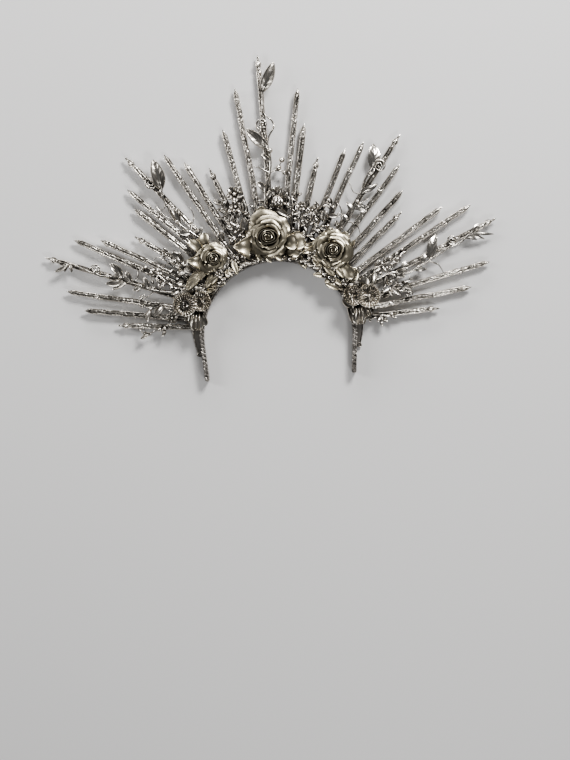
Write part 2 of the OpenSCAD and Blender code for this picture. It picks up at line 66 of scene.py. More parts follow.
# The band: its inner radius, thickness, depth at the top and at its ends, and its legs' length and lean
HEAD_R = 74.0
BAND_T = 4.6
BAND_TOP = 16.0
BAND_END = 12.0
LEG_LEN = 36.0
LEG_LEAN = 4.4


def low_z(node):
    """Height of a node's underside in the frame."""
    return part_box(node)[0].z / MM


def high_z(node):
    """Height of a node's front in the frame."""
    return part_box(node)[1].z / MM


# From the frame: the rays' underside, thickness and middle, and the underside of what lies on them
RAY_Z = low_z("ray_16")
RAY_DEPTH = high_z("ray_16") - RAY_Z
RAY_MID = RAY_Z + RAY_DEPTH / 2
FRONT_Z = low_z("vine_3")
# The picture's right and up in the frame, and the point that the camera looks at
RIGHT = np.array([math.cos(PHOTO_TURN), math.sin(PHOTO_TURN)])
ABOVE = np.array([-RIGHT[1], RIGHT[0]])
AXIS = FAN + (PHOTO_AXIS[0] - PHOTO_FAN[0]) * RIGHT + (PHOTO_FAN[1] - PHOTO_AXIS[1]) * ABOVE


def seen(pixel, z):
    """The point at height z that the photograph shows at a pixel."""
    share = (CAMERA_REACH - (z - RAY_MID)) / CAMERA_REACH
    across, above = pixel[0] - PHOTO_AXIS[0], PHOTO_AXIS[1] - pixel[1]
    place = AXIS + share * (across * RIGHT + above * ABOVE)
    return np.array([place[0], place[1], z])


def unit(v):
    """Each vector at a length of one."""
    return v / np.maximum(np.linalg.norm(v, axis=-1, keepdims=True), 1e-9)


def mix(a, b, t):
    """The value at a share of the way from a to b."""
    return a + (b - a) * t


def smooth(low, high, x):
    """0 below low, 1 above high, and a smooth step between."""
    t = np.clip((x - low) / (high - low), 0, 1)
    return t * t * (3 - 2 * t)


def polar(radius, degrees):
    """The point at a radius and an angle clockwise from straight up."""
    a = math.radians(degrees)
    return np.array([radius * math.sin(a), radius * math.cos(a)])


def axes(base, tip):
    """Length of a part, and its directions: along it, to its side, and over it."""
    length = np.linalg.norm(tip - base)
    along = (tip - base) / length
    side = unit(np.cross(along, UP))
    return length, along, side, np.cross(side, along)


def curve(points, steps):
    """Smooth line through all the points, with a number of steps between two of them."""
    p = np.asarray(points, float)
    p = np.vstack([2 * p[0] - p[1], p, 2 * p[-1] - p[-2]])
    line = []
    for a, b, c, d in zip(p, p[1:], p[2:], p[3:]):
        for t in np.arange(steps) / steps:
            line.append(0.5 * (2 * b + (c - a) * t + (2 * a - 5 * b + 4 * c - d) * t ** 2
                               + (3 * b - a - 3 * c + d) * t ** 3))
    line.append(p[-2])
    return np.array(line)


def lattice(cells, seed):
    """A fixed number from -1 to 1 for each whole cell, scattered by large factors."""
    n = cells[..., 0] * 73856093 ^ cells[..., 1] * 19349663 ^ cells[..., 2] * 83492791 ^ seed * 26544357
    n = (n ^ (n >> 13)) & 0xFFFFFFFF
    n = (n * 1274126177) & 0xFFFFFFFF
    return ((n ^ (n >> 16)) & 0xFFFF) / 32767.5 - 1


def noise(points, size, seed):
    """Smooth noise from -1 to 1 whose lumps have the given size."""
    p = np.asarray(points, float) / size
    cell = np.floor(p).astype(np.int64)
    t = smooth(0, 1, p - cell)
    total = 0
    for corner in np.ndindex(2, 2, 2):
        weight = np.prod(np.where(np.array(corner) == 1, t, 1 - t), axis=-1)
        total = total + weight * lattice(cell + np.array(corner), seed)
    return total


class Cast:
    """Parts of one piece in millimetres, with the share of tarnish at each point."""

    def __init__(self):
        self.points, self.tarnish, self.faces = [], [], []
        self.count = 0

    def add(self, points, faces, tarnish):
        """Takes in one closed solid."""
        points = np.asarray(points, float).reshape(-1, 3)
        self.points.append(points)
        self.tarnish.append(np.broadcast_to(np.ravel(tarnish), (len(points),)))
        for block in faces:
            self.faces.extend((np.asarray(block) + self.count).tolist())
        self.count += len(points)


def grid(rows, cols, wrap=False):
    """Four-sided faces over rows of points."""
    i, j = np.meshgrid(np.arange(rows - 1), np.arange(cols if wrap else cols - 1), indexing="ij")
    k = (j + 1) % cols
    return np.stack([i * cols + j, i * cols + k, (i + 1) * cols + k, (i + 1) * cols + j], -1).reshape(-1, 4)


# Least tarnish on the back of a leaf or petal, and the tarnish of beads and coils, which are worn bright
BACK_TARNISH = 0.35
WORN = 0.05


def add_sheet(cast, front, thickness, tarnish, flip=False):
    """Closed thin solid behind a grid of front points, or before it if it is flipped."""
    rows, cols = front.shape[:2]
    normal = unit(np.cross(np.gradient(front, axis=1), np.gradient(front, axis=0)))
    back = front - normal * (-1 if flip else 1) * thickness[..., None]
    n = rows * cols
    faces = grid(rows, cols)
    index = np.arange(n).reshape(rows, cols)
    edge = np.concatenate([index[0, :-1], index[:-1, -1], index[-1, :0:-1], index[:0:-1, 0]])
    after = np.roll(edge, -1)
    rim = np.stack([edge, edge + n, after + n, after], -1)
    stain = np.broadcast_to(tarnish, (rows, cols))
    cast.add(np.concatenate([front.reshape(-1, 3), back.reshape(-1, 3)]),
             [faces, faces[:, ::-1] + n, rim],
             np.concatenate([stain.ravel(), np.maximum(stain, BACK_TARNISH).ravel()]))


def add_rings(cast, rings, tarnish):
    """Closed solid through rings of points, with a point at the middle of each end."""
    rows, cols = rings.shape[:2]
    n = rows * cols
    j = np.arange(cols)
    k = (j + 1) % cols
    first = np.stack([np.full(cols, n), k, j], -1)
    last = np.stack([np.full(cols, n + 1), j + n - cols, k + n - cols], -1)
    ends = [rings[0].mean(0), rings[-1].mean(0)]
    stain = np.broadcast_to(tarnish, (rows, cols)).ravel()
    cast.add(np.concatenate([rings.reshape(-1, 3), ends]),
             [grid(rows, cols, wrap=True), first, last],
             np.concatenate([stain, [stain[0], stain[-1]]]))


def add_stack(cast, centre, radius, height, profile, sides, tarnish, flat=1.0, flute=0.0):
    """Solid of level rings, each at a share of the height and of the radius.

    Flat narrows the rings one way, and flute is the depth of their five waves.
    """
    a = np.linspace(0, 2 * math.pi, sides, endpoint=False)
    wave = 1 + flute * np.cos(5 * a)
    rings = [np.stack([radius * share * wave * np.cos(a), flat * radius * share * wave * np.sin(a),
                       np.full(sides, height * level)], -1)
             for level, share in profile]
    add_rings(cast, np.array(rings) + centre, tarnish)


# Angles of the two rings that round off each end of a wire, and the size of the dents along it
WIRE_END = (math.radians(42), math.radians(76))
WIRE_DENT = 2.2


def add_tube(cast, path, radius, sides=8, tarnish=0.1, relief=0.0, seed=0):
    """Round wire along a path. Relief is the depth of its dents, as a share of its radius."""
    path = np.asarray(path, float)
    radius = np.broadcast_to(np.asarray(radius, float), (len(path),))
    tangent = unit(np.gradient(path, axis=0))
    side = np.cross(tangent, UP)
    side[np.linalg.norm(side, axis=1) < 0.05] = [1, 0, 0]
    side = unit(side)
    over = np.cross(side, tangent)
    a = np.linspace(0, 2 * math.pi, sides, endpoint=False)[None, :, None]
    out = np.cos(a) * side[:, None] + np.sin(a) * over[:, None]
    r = radius[:, None, None]
    tarnish = np.full(len(path), tarnish)[:, None] * np.ones(sides)
    if relief:
        dents = noise(path[:, None] + 2 * out, WIRE_DENT, seed)[..., None]
        r = r * (1 + relief * dents)
        tarnish = np.clip(tarnish - 0.8 * dents[..., 0], 0, 1)
    rings = path[:, None] + r * out
    first = [path[0] + (rings[0] - path[0]) * math.cos(b) - tangent[0] * radius[0] * math.sin(b)
             for b in WIRE_END[::-1]]
    last = [path[-1] + (rings[-1] - path[-1]) * math.cos(b) + tangent[-1] * radius[-1] * math.sin(b)
            for b in WIRE_END]
    stain = np.concatenate([tarnish[:1]] * 2 + [tarnish] + [tarnish[-1:]] * 2)
    add_rings(cast, np.concatenate([first, rings, last]), stain)


def add_bead(cast, centre, r, sides=12, stretch=1.0):
    """Round bead, which may be stretched upward."""
    rows = sides // 2 - 1
    a = np.linspace(0.1, math.pi - 0.1, rows + 2)
    b = np.linspace(0, 2 * math.pi, sides, endpoint=False)
    ring = np.stack([np.outer(np.sin(a), np.cos(b)), np.outer(np.sin(a), np.sin(b)),
                     stretch * np.outer(-np.cos(a), np.ones(sides))], -1)
    add_rings(cast, centre + r * ring, WORN)


def add_bud(cast, base, tip, width, flutes):
    """Fluted bud from its base to its tip."""
    length, along, side, over = axes(base, tip)
    v = np.linspace(0.02, 1, 18)[:, None]
    a = np.linspace(0, 2 * math.pi, 8 * flutes, endpoint=False)[None, :]
    wave = np.abs(np.cos(flutes / 2 * a + 1.2 * v))
    rho = width / 2 * np.sin(math.pi * v ** 0.8) ** 0.75 * (0.8 + 0.24 * wave) + 0.05
    rings = (base + (v * length)[..., None] * along
             + (rho * np.cos(a))[..., None] * side + (rho * np.sin(a))[..., None] * over)
    add_rings(cast, rings, np.clip(0.95 - 1.2 * wave, 0, 1))


def leaf_outline(v, shape):
    """Share of the full width at each share of the length: a leaf, a round petal, a sepal or a fan."""
    if shape == "petal":
        return np.maximum(1.1 * v ** 0.5 * (1 - v ** 4.5) ** 0.5, 0.05)
    if shape == "sepal":
        return np.maximum((1 - v) ** 0.85, 0.04)
    if shape == "fan":
        return mix(0.32, 1, v ** 0.8) * (1 - 0.35 * smooth(0.86, 1, v))
    return np.maximum(2.6 * v ** 0.62 * (1 - v) ** 0.78, mix(0.09, 0.02, v))


# Width from which a fine leaf gets a finer mesh
WIDE_LEAF = 6.4


def add_leaf(cast, base, tip, width, cup=0.16, bow=0.07, twist=0.0, sway=0.0, veins=6, tarnish=0.5,
             thickness=0.75, fine=False, shape="leaf", folds=0):
    """Leaf or petal with a raised rim, a midrib and slanting veins, from its base to its tip.

    Cup lifts its sides, as a share of its width. Bow lifts its middle and sway bends it sideways, as
    shares of its length. Twist turns its tip, in radians. Without veins it is smooth, and folds run
    along it instead of a midrib.
    """
    length, along, side, over = axes(base, tip)
    if fine and width > WIDE_LEAF:
        rows, cols = 25, 8 * folds + 17
    elif fine:
        rows, cols = 19, 13
    else:
        rows, cols = 10, 7
    v = np.linspace(0, 1, rows)[:, None]
    u = np.linspace(-1, 1, cols)[None, :]
    outline = leaf_outline(v, shape)
    half = width / 2 * outline
    relief = 0.034 * width if fine else 0.045 * width
    rim = smooth(0.74, 0.98, np.abs(u))
    if shape == "petal":
        rim = np.maximum(rim, smooth(0.82, 0.98, v))
    if folds:
        raised = 0.5 + 0.5 * np.cos(math.pi * folds * u + 0.9 * np.sin(5 * v))
        relief = 0.34 * width / folds * smooth(0, 0.3, v) * (1 + 0.5 * smooth(0.7, 1, v))
    elif veins:
        vein = (np.abs((v * veins - 1.5 * np.abs(u)) % 1 - 0.5) * 2) ** 2 if fine else 0.5
        raised = np.maximum(np.maximum(0.75 * vein, 1.25 * np.exp(-(u / 0.12) ** 2) * (1 - 0.6 * v)), rim)
    else:
        raised = np.maximum(rim, 0.35 * smooth(0, 1, v))
    turn = twist * v
    z = (cup * width * np.abs(u) ** 1.7 * outline + relief * raised
         + bow * length * np.sin(math.pi * v) + u * half * np.sin(turn))
    across = u * half * np.cos(turn) + sway * length * np.sin(math.pi * v)
    front = base + (v * length)[..., None] * along + across[..., None] * side + z[..., None] * over
    stain = np.clip(tarnish * (1.1 - 1.35 * raised) + 0.25 * (1 - v) ** 3, 0, 1)
    add_sheet(cast, front, thickness * (1 - 0.6 * smooth(0.8, 1, v)), stain)


def add_coil(cast, centre, radius, start, turns, wire=1.0):
    """Flat coil of wire that winds inward to a small ball, clockwise for positive turns."""
    steps = int(abs(turns) * 22)
    t = np.linspace(0, 1, steps + 1)
    a = np.radians(start - 360 * turns * t)
    r = mix(radius, 0.16 * radius, t ** 0.9)
    path = np.stack([r * np.cos(a), r * np.sin(a), 0.6 * t], -1) + centre
    add_tube(cast, path, mix(wire, 0.75 * wire, t), 10, tarnish=WORN)
    add_bead(cast, path[-1], 1.05 * wire, 10)


def run_of(path):
    """Length of a line up to each of its points."""
    steps = np.linalg.norm(np.diff(path, axis=0), axis=1)
    return np.concatenate([[0], np.cumsum(steps)])


# Distance on either side of a point over which a line's direction is taken
NEARBY = 0.6


def along_line(path, t):
    """The point and the direction at a share of a line's length."""
    run = run_of(path)

    def point(distance):
        return np.array([np.interp(distance, run, path[:, k]) for k in range(3)])

    here = t * run[-1]
    return point(here), unit(point(min(here + NEARBY, run[-1])) - point(max(here - NEARBY, 0)))


def turned(direction, degrees):
    """A direction turned in the plane of the fan."""
    a = math.radians(degrees)
    x, y = direction[0], direction[1]
    return unit(np.array([x * math.cos(a) - y * math.sin(a), x * math.sin(a) + y * math.cos(a), 0]))


# Small leaves along a stem: width as a share of the length, degrees from the stem, and rise of the tip
FOLIAGE_WIDTH = 0.42
FOLIAGE_SPREAD = (30, 75)
FOLIAGE_RISE = (0.6, 4.2)
# Petals of a small blossom
BLOSSOM_PETALS = 5


def add_foliage(cast, path, count, length, rng):
    """Two rows of small leaves along a stem."""
    for k in range(count):
        point, tangent = along_line(path, (k + 0.6) / (count + 0.3))
        hand = 1 if k % 2 else -1
        size = length * rng.uniform(0.72, 1.15)
        heading = turned(tangent, hand * rng.uniform(*FOLIAGE_SPREAD))
        tip = point + heading * size + UP * rng.uniform(*FOLIAGE_RISE)
        add_leaf(cast, point, tip, FOLIAGE_WIDTH * size * rng.uniform(0.85, 1.15),
                 twist=rng.uniform(-0.5, 0.5), sway=hand * rng.uniform(-0.02, 0.1),
                 bow=rng.uniform(0.02, 0.14))


def add_blossom(cast, centre, radius, start, rng):
    """Small open blossom round a bead, whose first petal points along the start angle."""
    for k in range(BLOSSOM_PETALS):
        heading = turned(np.array([1.0, 0, 0]), start + 360 * k / BLOSSOM_PETALS)
        base = centre + heading * 0.12 * radius
        tip = centre + heading * radius + UP * 0.35 * radius * rng.uniform(0.6, 1.2)
        add_leaf(cast, base, tip, 0.86 * radius, cup=0.24, bow=0.14, veins=0, fine=True, shape="petal")
    add_bead(cast, centre + UP * 0.25 * radius, 0.26 * radius)


# Rings of each kind of ray: distance from the tip, share of the full width
RAY_PROFILES = {
    "vine": [(0, 0.07), (2.4, 0.42), (4.6, 0.36), (5.6, 0.5), (7.4, 1.0), (9.4, 1.16), (11.4, 0.95),
             (13, 0.62), (15, 0.85), (17, 1)],
    "long": [(0, 0.05), (1.8, 0.28), (3.6, 0.5), (5.4, 0.8), (8, 0.96), (24, 0.94), (28, 0.98),
             (29.4, 1.08), (30.6, 0.62), (32, 0.6), (33.4, 1.06), (36, 1)],
    "medium": [(0, 0.05), (1.8, 0.3), (3.6, 0.55), (5.4, 0.85), (8, 1.04), (12, 1)],
    "short": [(0, 0.07), (2.4, 0.42), (4.6, 0.36), (5.6, 0.5), (7.4, 1.0), (9, 1.14), (11, 0.95),
              (12.6, 0.62), (14.5, 0.85), (16.5, 1)],
}
# Kinds of the rays from left to right, which repeat
RAY_KINDS = ["short", "medium", "long", "vine", "long", "medium"]
RAY_COUNT = 31
RAY_WIDTH = 5.6
# Distance between two rings of a ray
ROW_STEP = 0.75
# Distance from a long ray's tip to the bead beside its knot
KNOT_PLACE = 31.4
# Distance from the tip to the bead in the bud, on short rays and on those that a vine climbs
BUD_PLACE = 9.2
# How much of a ray's mesh, from its nearest and its farthest point, gives its root and its tip
ROOT_REACH = 2.2
TIP_REACH = 0.4


def ray_ends(node):
    """The middle of a ray's root and its tip, from its mesh in the frame."""
    points = np.array([v.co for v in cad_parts[node].data.vertices]) / MM
    reach = np.linalg.norm(points[:, :2] - FAN, axis=1)
    root = points[reach < reach.min() + ROOT_REACH]
    tip = points[reach > reach.max() - TIP_REACH]
    return root.mean(0), tip.mean(0)


def ray_section():
    """Corners round a ray's section: a front between two raised rims, and a rounded back."""
    half = np.array([1.0, 0.94, 0.84, 0.72, 0.6, 0.48, 0.36, 0.22, 0.07])
    front = np.concatenate([half, -half[::-1]])
    back = np.array([-0.92, -0.6, -0.2, 0.2, 0.6, 0.92])
    return (np.concatenate([front, back]),
            np.concatenate([1 - 0.5 * np.abs(front) ** 8, -1 + 0.5 * np.abs(back) ** 3]),
            np.concatenate([np.ones(len(front)), np.zeros(len(back))]))


def ray(node, kind, seed):
    """Cast bar with a pitted ridge between two grooves, its knot or bud, and a pointed end."""
    cast = Cast()
    root, tip = ray_ends(node)
    length, along, side, _ = axes(root, tip)
    x, z, front = ray_section()
    rows = int(length / ROW_STEP)
    y = np.linspace(0, length, rows)
    left = length - y
    share = np.interp(left, *np.array(RAY_PROFILES[kind]).T)[:, None]
    plain = smooth(1.5, 6, left)[:, None]
    line = np.stack([y, 0 * y, 0 * y], -1)
    wander = np.abs(x + 0.2 * noise(line, 9, seed + 5)[:, None])
    groove = front * plain * np.exp(-((wander - 0.52) / 0.17) ** 2)
    ridge = front * plain * smooth(0.5, 0.28, wander)
    spot = np.stack(np.broadcast_arrays(x * 3, y[:, None], z), -1)
    pits = smooth(-0.1, 0.5, noise(spot * [0.9, 0.8, 0.6], 1.0, seed))
    dents = noise(spot * [0.55, 0.5, 0.6], 1.0, seed + 40)
    patches = noise(spot * [0.1, 0.12, 0.1], 1.0, seed + 80)
    width = RAY_WIDTH / 2 * share * x * (1 + 0.06 * plain * dents)
    height = RAY_DEPTH / 2 * np.minimum(1, 0.35 + 0.65 * share) * z
    height = (height - groove * (0.55 + 0.3 * pits) - ridge * (0.12 + 0.45 * pits)
              + 0.14 * dents * plain * np.sign(z))
    sway = 0.35 * (noise(line, 17, seed + 9) * smooth(0, 14, left))[:, None]
    rings = (root + y[:, None, None] * along + (width + sway)[..., None] * side
             + height[..., None] * UP)
    stain = np.clip(0.12 + groove * (0.55 + 0.2 * patches) + ridge * (0.06 + 0.4 * pits + 0.2 * patches)
                    + 0.1 * patches - 0.2 * dents, 0, 1)
    add_rings(cast, rings, stain)
    # Seen from the root, the beads lie on the left, or on the right where the ray points far right
    hand = 1 if along[0] > 0.75 else -1
    if kind == "long":
        for k, (back, r) in enumerate([(KNOT_PLACE, 1.6), (KNOT_PLACE + 2.6, 1.1)]):
            place = root + (length - back) * along + hand * (2.0 + 0.4 * k) * side + 0.9 * UP
            add_bead(cast, place, r, 14, stretch=1.1)
    elif kind != "medium":
        add_bead(cast, root + (length - BUD_PLACE) * along + 0.7 * hand * side + 0.7 * UP, 2.3, 16)
    return cast


# Vines: the ray that each one climbs, and its parts in the ray's own frame, across and then along.
# Wires: radii at the two ends, points. Leaves: base, tip, width. Coils: centre, radius, degrees, turns.
# Beads: centre, radius. The leaves' cup is their hollow, or their arch below 0; lift is the rise of their
# tips as a share of their length; twist is the range of their turn.
VINES = {
    "vine_1": {
        "ray": "ray_04", "twist": (-0.3, 0.2), "tarnish": 0.6, "cup": 0.16, "lift": 0.1,
        "wires": [
            (1.3, 1.1, [(3, 26), (-1, 48), (0, 73), (2, 84), (-2, 104), (2.6, 114)]),
            (1.0, 0.6, [(-2, 104), (-1, 118), (1, 132), (0.9, 139)]),
            (0.7, 0.35, [(0, 73), (6, 68), (14, 70), (19, 76)]),
            (0.7, 0.35, [(-1, 48), (-8, 52), (-13, 60)]),
        ],
        "leaves": [
            ((0.9, 138), (-10.9, 148), 4), ((0.9, 138), (-8, 139), 3), ((0.9, 136), (-6.5, 132), 2.6),
            ((2, 83), (12.5, 97.5), 8), ((0, 73), (9.5, 81), 7), ((0, 80), (-8.3, 96), 6),
            ((0, 76), (-12, 88), 4), ((-1, 54), (9, 62), 5), ((0, 62), (-7, 68), 4),
        ],
        "coils": [((2.6, 110), 5, 90, 1.7)],
        "beads": [((0, 62), 2.0), ((2, 84), 1.7)],
    },
    "vine_2": {
        "ray": "ray_10", "twist": (-0.2, 0.2), "tarnish": 0.6, "cup": 0.16, "lift": 0.1,
        "wires": [
            (1.3, 1.0, [(1, 26), (-5, 48), (-7.4, 66), (-2.7, 87),
                        (1.4, 97), (9.4, 105), (7, 114), (0.9, 116.6)]),
            (1.15, 0.8, [(9.4, 104), (14.6, 108), (18, 114)]),
            (0.8, 0.4, [(-7.4, 67), (-12, 78), (-11.7, 92)]),
            (0.8, 0.4, [(-5, 48), (3, 54), (8.2, 58), (12, 66)]),
            (0.7, 0.35, [(-2.7, 87), (-8, 84), (-12, 88)]),
        ],
        "leaves": [
            ((3.4, 100), (18.1, 126.3), 12.8), ((-5, 48), (-14, 56), 6), ((-7.4, 66), (2, 76), 6),
            ((-7.4, 62), (-2, 80), 4.4), ((-3, 42), (6, 44), 5),
        ],
        "coils": [((0.9, 111), 6.4, 90, -1.9)],
        "beads": [((-7.4, 66), 2.0), ((1.4, 99), 1.6)],
    },
    "vine_3": {
        "ray": "ray_16", "twist": (-0.2, 0.2), "tarnish": 0.55, "cup": 0.16, "lift": 0.1,
        "wires": [
            (1.4, 1.2, [(-3, 32), (-3.5, 56), (2.6, 74), (4, 92), (-1.6, 104), (-4, 112), (-2, 119)]),
            (1.0, 0.7, [(4, 92), (2.5, 101), (4.4, 110), (8.3, 115.6), (10.2, 119.5), (10.2, 122.6),
                        (8, 127), (5.2, 129), (3, 131.6), (1, 137), (1, 146), (1.4, 157)]),
            (0.6, 0.4, [(2.6, 74), (-6, 79), (-13.6, 81.5)]),
            (0.8, 0.6, [(2.6, 74), (8, 76), (11.8, 78.4), (15.5, 85.8)]),
            (0.7, 0.6, [(8, 76), (13, 75), (16.8, 73.3)]),
        ],
        "leaves": [
            ((1.4, 155.5), (15.3, 183), 11), ((2.6, 99), (-17.5, 119), 10), ((-3.4, 56.6), (-11, 66), 5),
            ((3, 84), (-4, 93), 4), ((-3, 48), (6, 58), 5),
        ],
        "coils": [((-1.2, 122.6), 6.3, 235, 1.8)],
        "beads": [((4.7, 96), 2.9), ((11.8, 78.4), 2.8), ((15.5, 85.8), 3.0), ((16.8, 73.3), 2.5)],
    },
    "vine_4": {
        "ray": "ray_22", "twist": (-0.3, 0.05), "tarnish": 0.3, "cup": -0.1, "lift": -0.1,
        "wires": [
            (1.3, 1.1, [(0, 26), (3, 46), (0.5, 64), (-0.9, 76), (-5, 92), (-4.4, 106), (-5, 108.6)]),
            (0.7, 0.35, [(-0.9, 76), (-8, 74), (-16.5, 79.4)]),
            (0.7, 0.35, [(3, 46), (13, 48), (21, 42)]),
            (1.0, 0.8, [(-4.6, 96), (-1.6, 101), (-3, 104.6)]),
            (0.8, 0.4, [(0.5, 64), (5, 70), (8, 76)]),
        ],
        "leaves": [
            ((-4.6, 104), (-17.2, 125), 12.4), ((-0.9, 77), (8.4, 94), 6.5), ((0.5, 64), (14, 65), 8),
            ((1.5, 60), (13, 70), 5), ((1.5, 56), (-8, 62), 5), ((3, 46), (-5, 50), 5),
        ],
        "coils": [((0, 109.6), 6.8, 185, 1.9)],
        "beads": [((0.5, 68), 2.0)],
    },
    "vine_5": {
        "ray": "ray_28", "twist": (-0.3, 0.05), "tarnish": 0.3, "cup": -0.1, "lift": -0.1,
        "wires": [
            (1.3, 1.1, [(-2, 24), (-1, 44), (7, 60), (5.9, 83), (3.6, 108), (2.6, 114)]),
            (1.0, 0.6, [(3.6, 108), (4.4, 122), (0.6, 134)]),
            (0.8, 0.4, [(5.9, 83), (14, 90), (23, 91)]),
        ],
        "leaves": [
            ((0.8, 132), (12.8, 153.5), 3.4), ((1.2, 130), (12.6, 143), 3.2), ((2.4, 126), (10, 136), 3),
            ((0.8, 132), (-4, 145), 3), ((5, 86), (-14.5, 103), 10), ((6.6, 66), (12.5, 78), 5),
            ((4, 55), (-5, 63), 5), ((6, 76), (-2, 84), 4),
        ],
        "coils": [((-1.6, 113.7), 5.2, 0, 1.8)],
        "beads": [((6.6, 72), 2.0)],
    },
}
# Height of the vines' wires above FRONT_Z
VINE_WIRE_Z = 0.9


def vine(node, seed):
    """Vine that winds up its ray, with veined leaves and a coiled tendril."""
    cast = Cast()
    rng = np.random.default_rng(seed)
    row = VINES[node]
    root, tip = ray_ends(row["ray"])
    _, along, side, _ = axes(root, tip)

    def place(p, z=0.0):
        spot = root + p[0] * side + p[1] * along
        return np.array([spot[0], spot[1], FRONT_Z + VINE_WIRE_Z + z])

    for first, last, points in row["wires"]:
        line = curve([place(p, 0.5 * math.sin(2.1 * k)) for k, p in enumerate(points)], 10)
        add_tube(cast, line, np.linspace(first, last, len(line)), 10, relief=0.16, seed=seed)
    for base, end, width in row["leaves"]:
        length = math.dist(base, end)
        add_leaf(cast, place(base), place(end, row["lift"] * length), width,
                 veins=max(3, int(length / 5.5)), twist=rng.uniform(*row["twist"]),
                 sway=rng.uniform(-0.06, 0.06), bow=0.1, cup=row["cup"], thickness=0.9, fine=True,
                 tarnish=row["tarnish"])
    for centre, radius, start, turns in row["coils"]:
        angle = start + math.degrees(math.atan2(side[1], side[0]))
        add_coil(cast, place(centre, 0.5), radius, angle, turns)
    for centre, r in row["beads"]:
        add_bead(cast, place(centre, 0.3), r, 14)
    return cast


# Thickness of a flower's petal at its base
PETAL_WALL = 0.9


def add_petal(cast, centre, height, tier, turn, lip, half, rng):
    """One petal of a flower: its base is tucked in, and its lip rolls outward.

    The tier holds the inner radius as a share of the lip's, and the inner height, the lip's height
    and the roll of the lip as shares of the flower's height.
    """
    inner, low, high, roll = tier
    v = np.linspace(0, 1, 17)[:, None]
    u = np.linspace(-1, 1, 23)[None, :]
    lean, pinch, phase = rng.uniform(-0.05, 0.05), rng.uniform(0.01, 0.08), rng.uniform(0, 6)
    reach = v * (1 - 0.2 * np.abs(u) ** 2.8)
    curl = np.maximum(0, (reach - 0.66) / 0.34)
    angle = np.radians(turn + u * half * (0.55 + 0.45 * np.sin(math.pi / 2 * v)))
    rho = lip * (mix(inner, 1, reach ** 0.9) + lean * u * v
                 + pinch * curl * np.exp(-((u - 2 * lean) / 0.2) ** 2))
    z = mix(low, high, np.sin(math.pi / 2 * reach)) - roll * curl ** 2 * (1 + 0.4 * np.abs(u))
    z = z + 0.024 * curl * np.sin(4.2 * u + phase) - 0.035 * v * (1 - u ** 2)
    front = np.stack([rho * np.cos(angle), rho * np.sin(angle), height * z], -1) + centre
    front = front + 0.1 * noise(front, 3.0, 5)[..., None] * UP
    stain = 0.92 - 0.42 * v - 0.4 * smooth(0.84, 1, v) + 0.18 * noise(front, 3.5, 7)
    edge = 1 - 0.35 * v + 0.45 * smooth(0.88, 1, v)
    add_sheet(cast, front, PETAL_WALL * edge, np.clip(stain, 0, 1))


# Shares of the height and of the radius: the dome under a core, and the cone that petals grow from
DOME = [(0.45, 0.98), (0.66, 0.96), (0.76, 0.7), (0.82, 0.35), (0.84, 0.12)]
CALYX = [(0.0, 1.0), (0.12, 0.96), (0.5, 0.62), (1.0, 0.3)]


def add_core(cast, centre, height, radius, start, turns, corner, flat):
    """Tight spiral of one rolled petal in the middle of a rose, over a small dome.

    The corner pulls the spiral out to a point, and flat narrows it the other way.
    """
    s = np.linspace(0, 1, int(36 * turns))[None, :]
    v = np.linspace(0, 1, 9)[:, None]
    angle = math.radians(start) + 2 * math.pi * turns * s
    far = np.cos(angle - math.radians(start))
    pull = (1 + corner * s * np.maximum(far, 0) ** 4 + 0.055 * np.sin(2.3 * angle + 1)
            + 0.035 * np.sin(3.7 * angle))
    rho = mix(0.06, 1, s ** 0.9) * radius * pull
    top = mix(0.99, 0.9, s) + 0.028 * np.sin(2.6 * angle) - 0.2 * smooth(0.92, 1, s)
    z = mix(0.55, top, v)
    rho = rho + 0.05 * radius * np.maximum(0, (v - 0.55) / 0.45) ** 2
    front = np.stack([rho * np.cos(angle), flat * rho * np.sin(angle), height * z], -1) + centre
    stain = 0.5 * (1 - smooth(0.4, 0.9, v))
    wall = (0.62 + 0.34 * smooth(0.55, 0.85, v) - 0.5 * smooth(0.86, 1, v)) * (1 - 0.5 * smooth(0.95, 1, s))
    add_sheet(cast, front, wall, stain, flip=True)
    add_stack(cast, centre, radius, height, DOME, 24, 0.35, flat=flat)


# Tiers of petals: inner radius as a share of the lip's, then inner height, lip height and roll
OUTER = (0.24, 0.1, 0.44, 0.12)
SECOND = (0.26, 0.18, 0.6, 0.1)
MIDDLE = (0.3, 0.28, 0.74, 0.09)
INNER = (0.4, 0.4, 0.88, 0.05)

# Share of a rose's height at which its heart is seen
HEART_LEVEL = 0.6
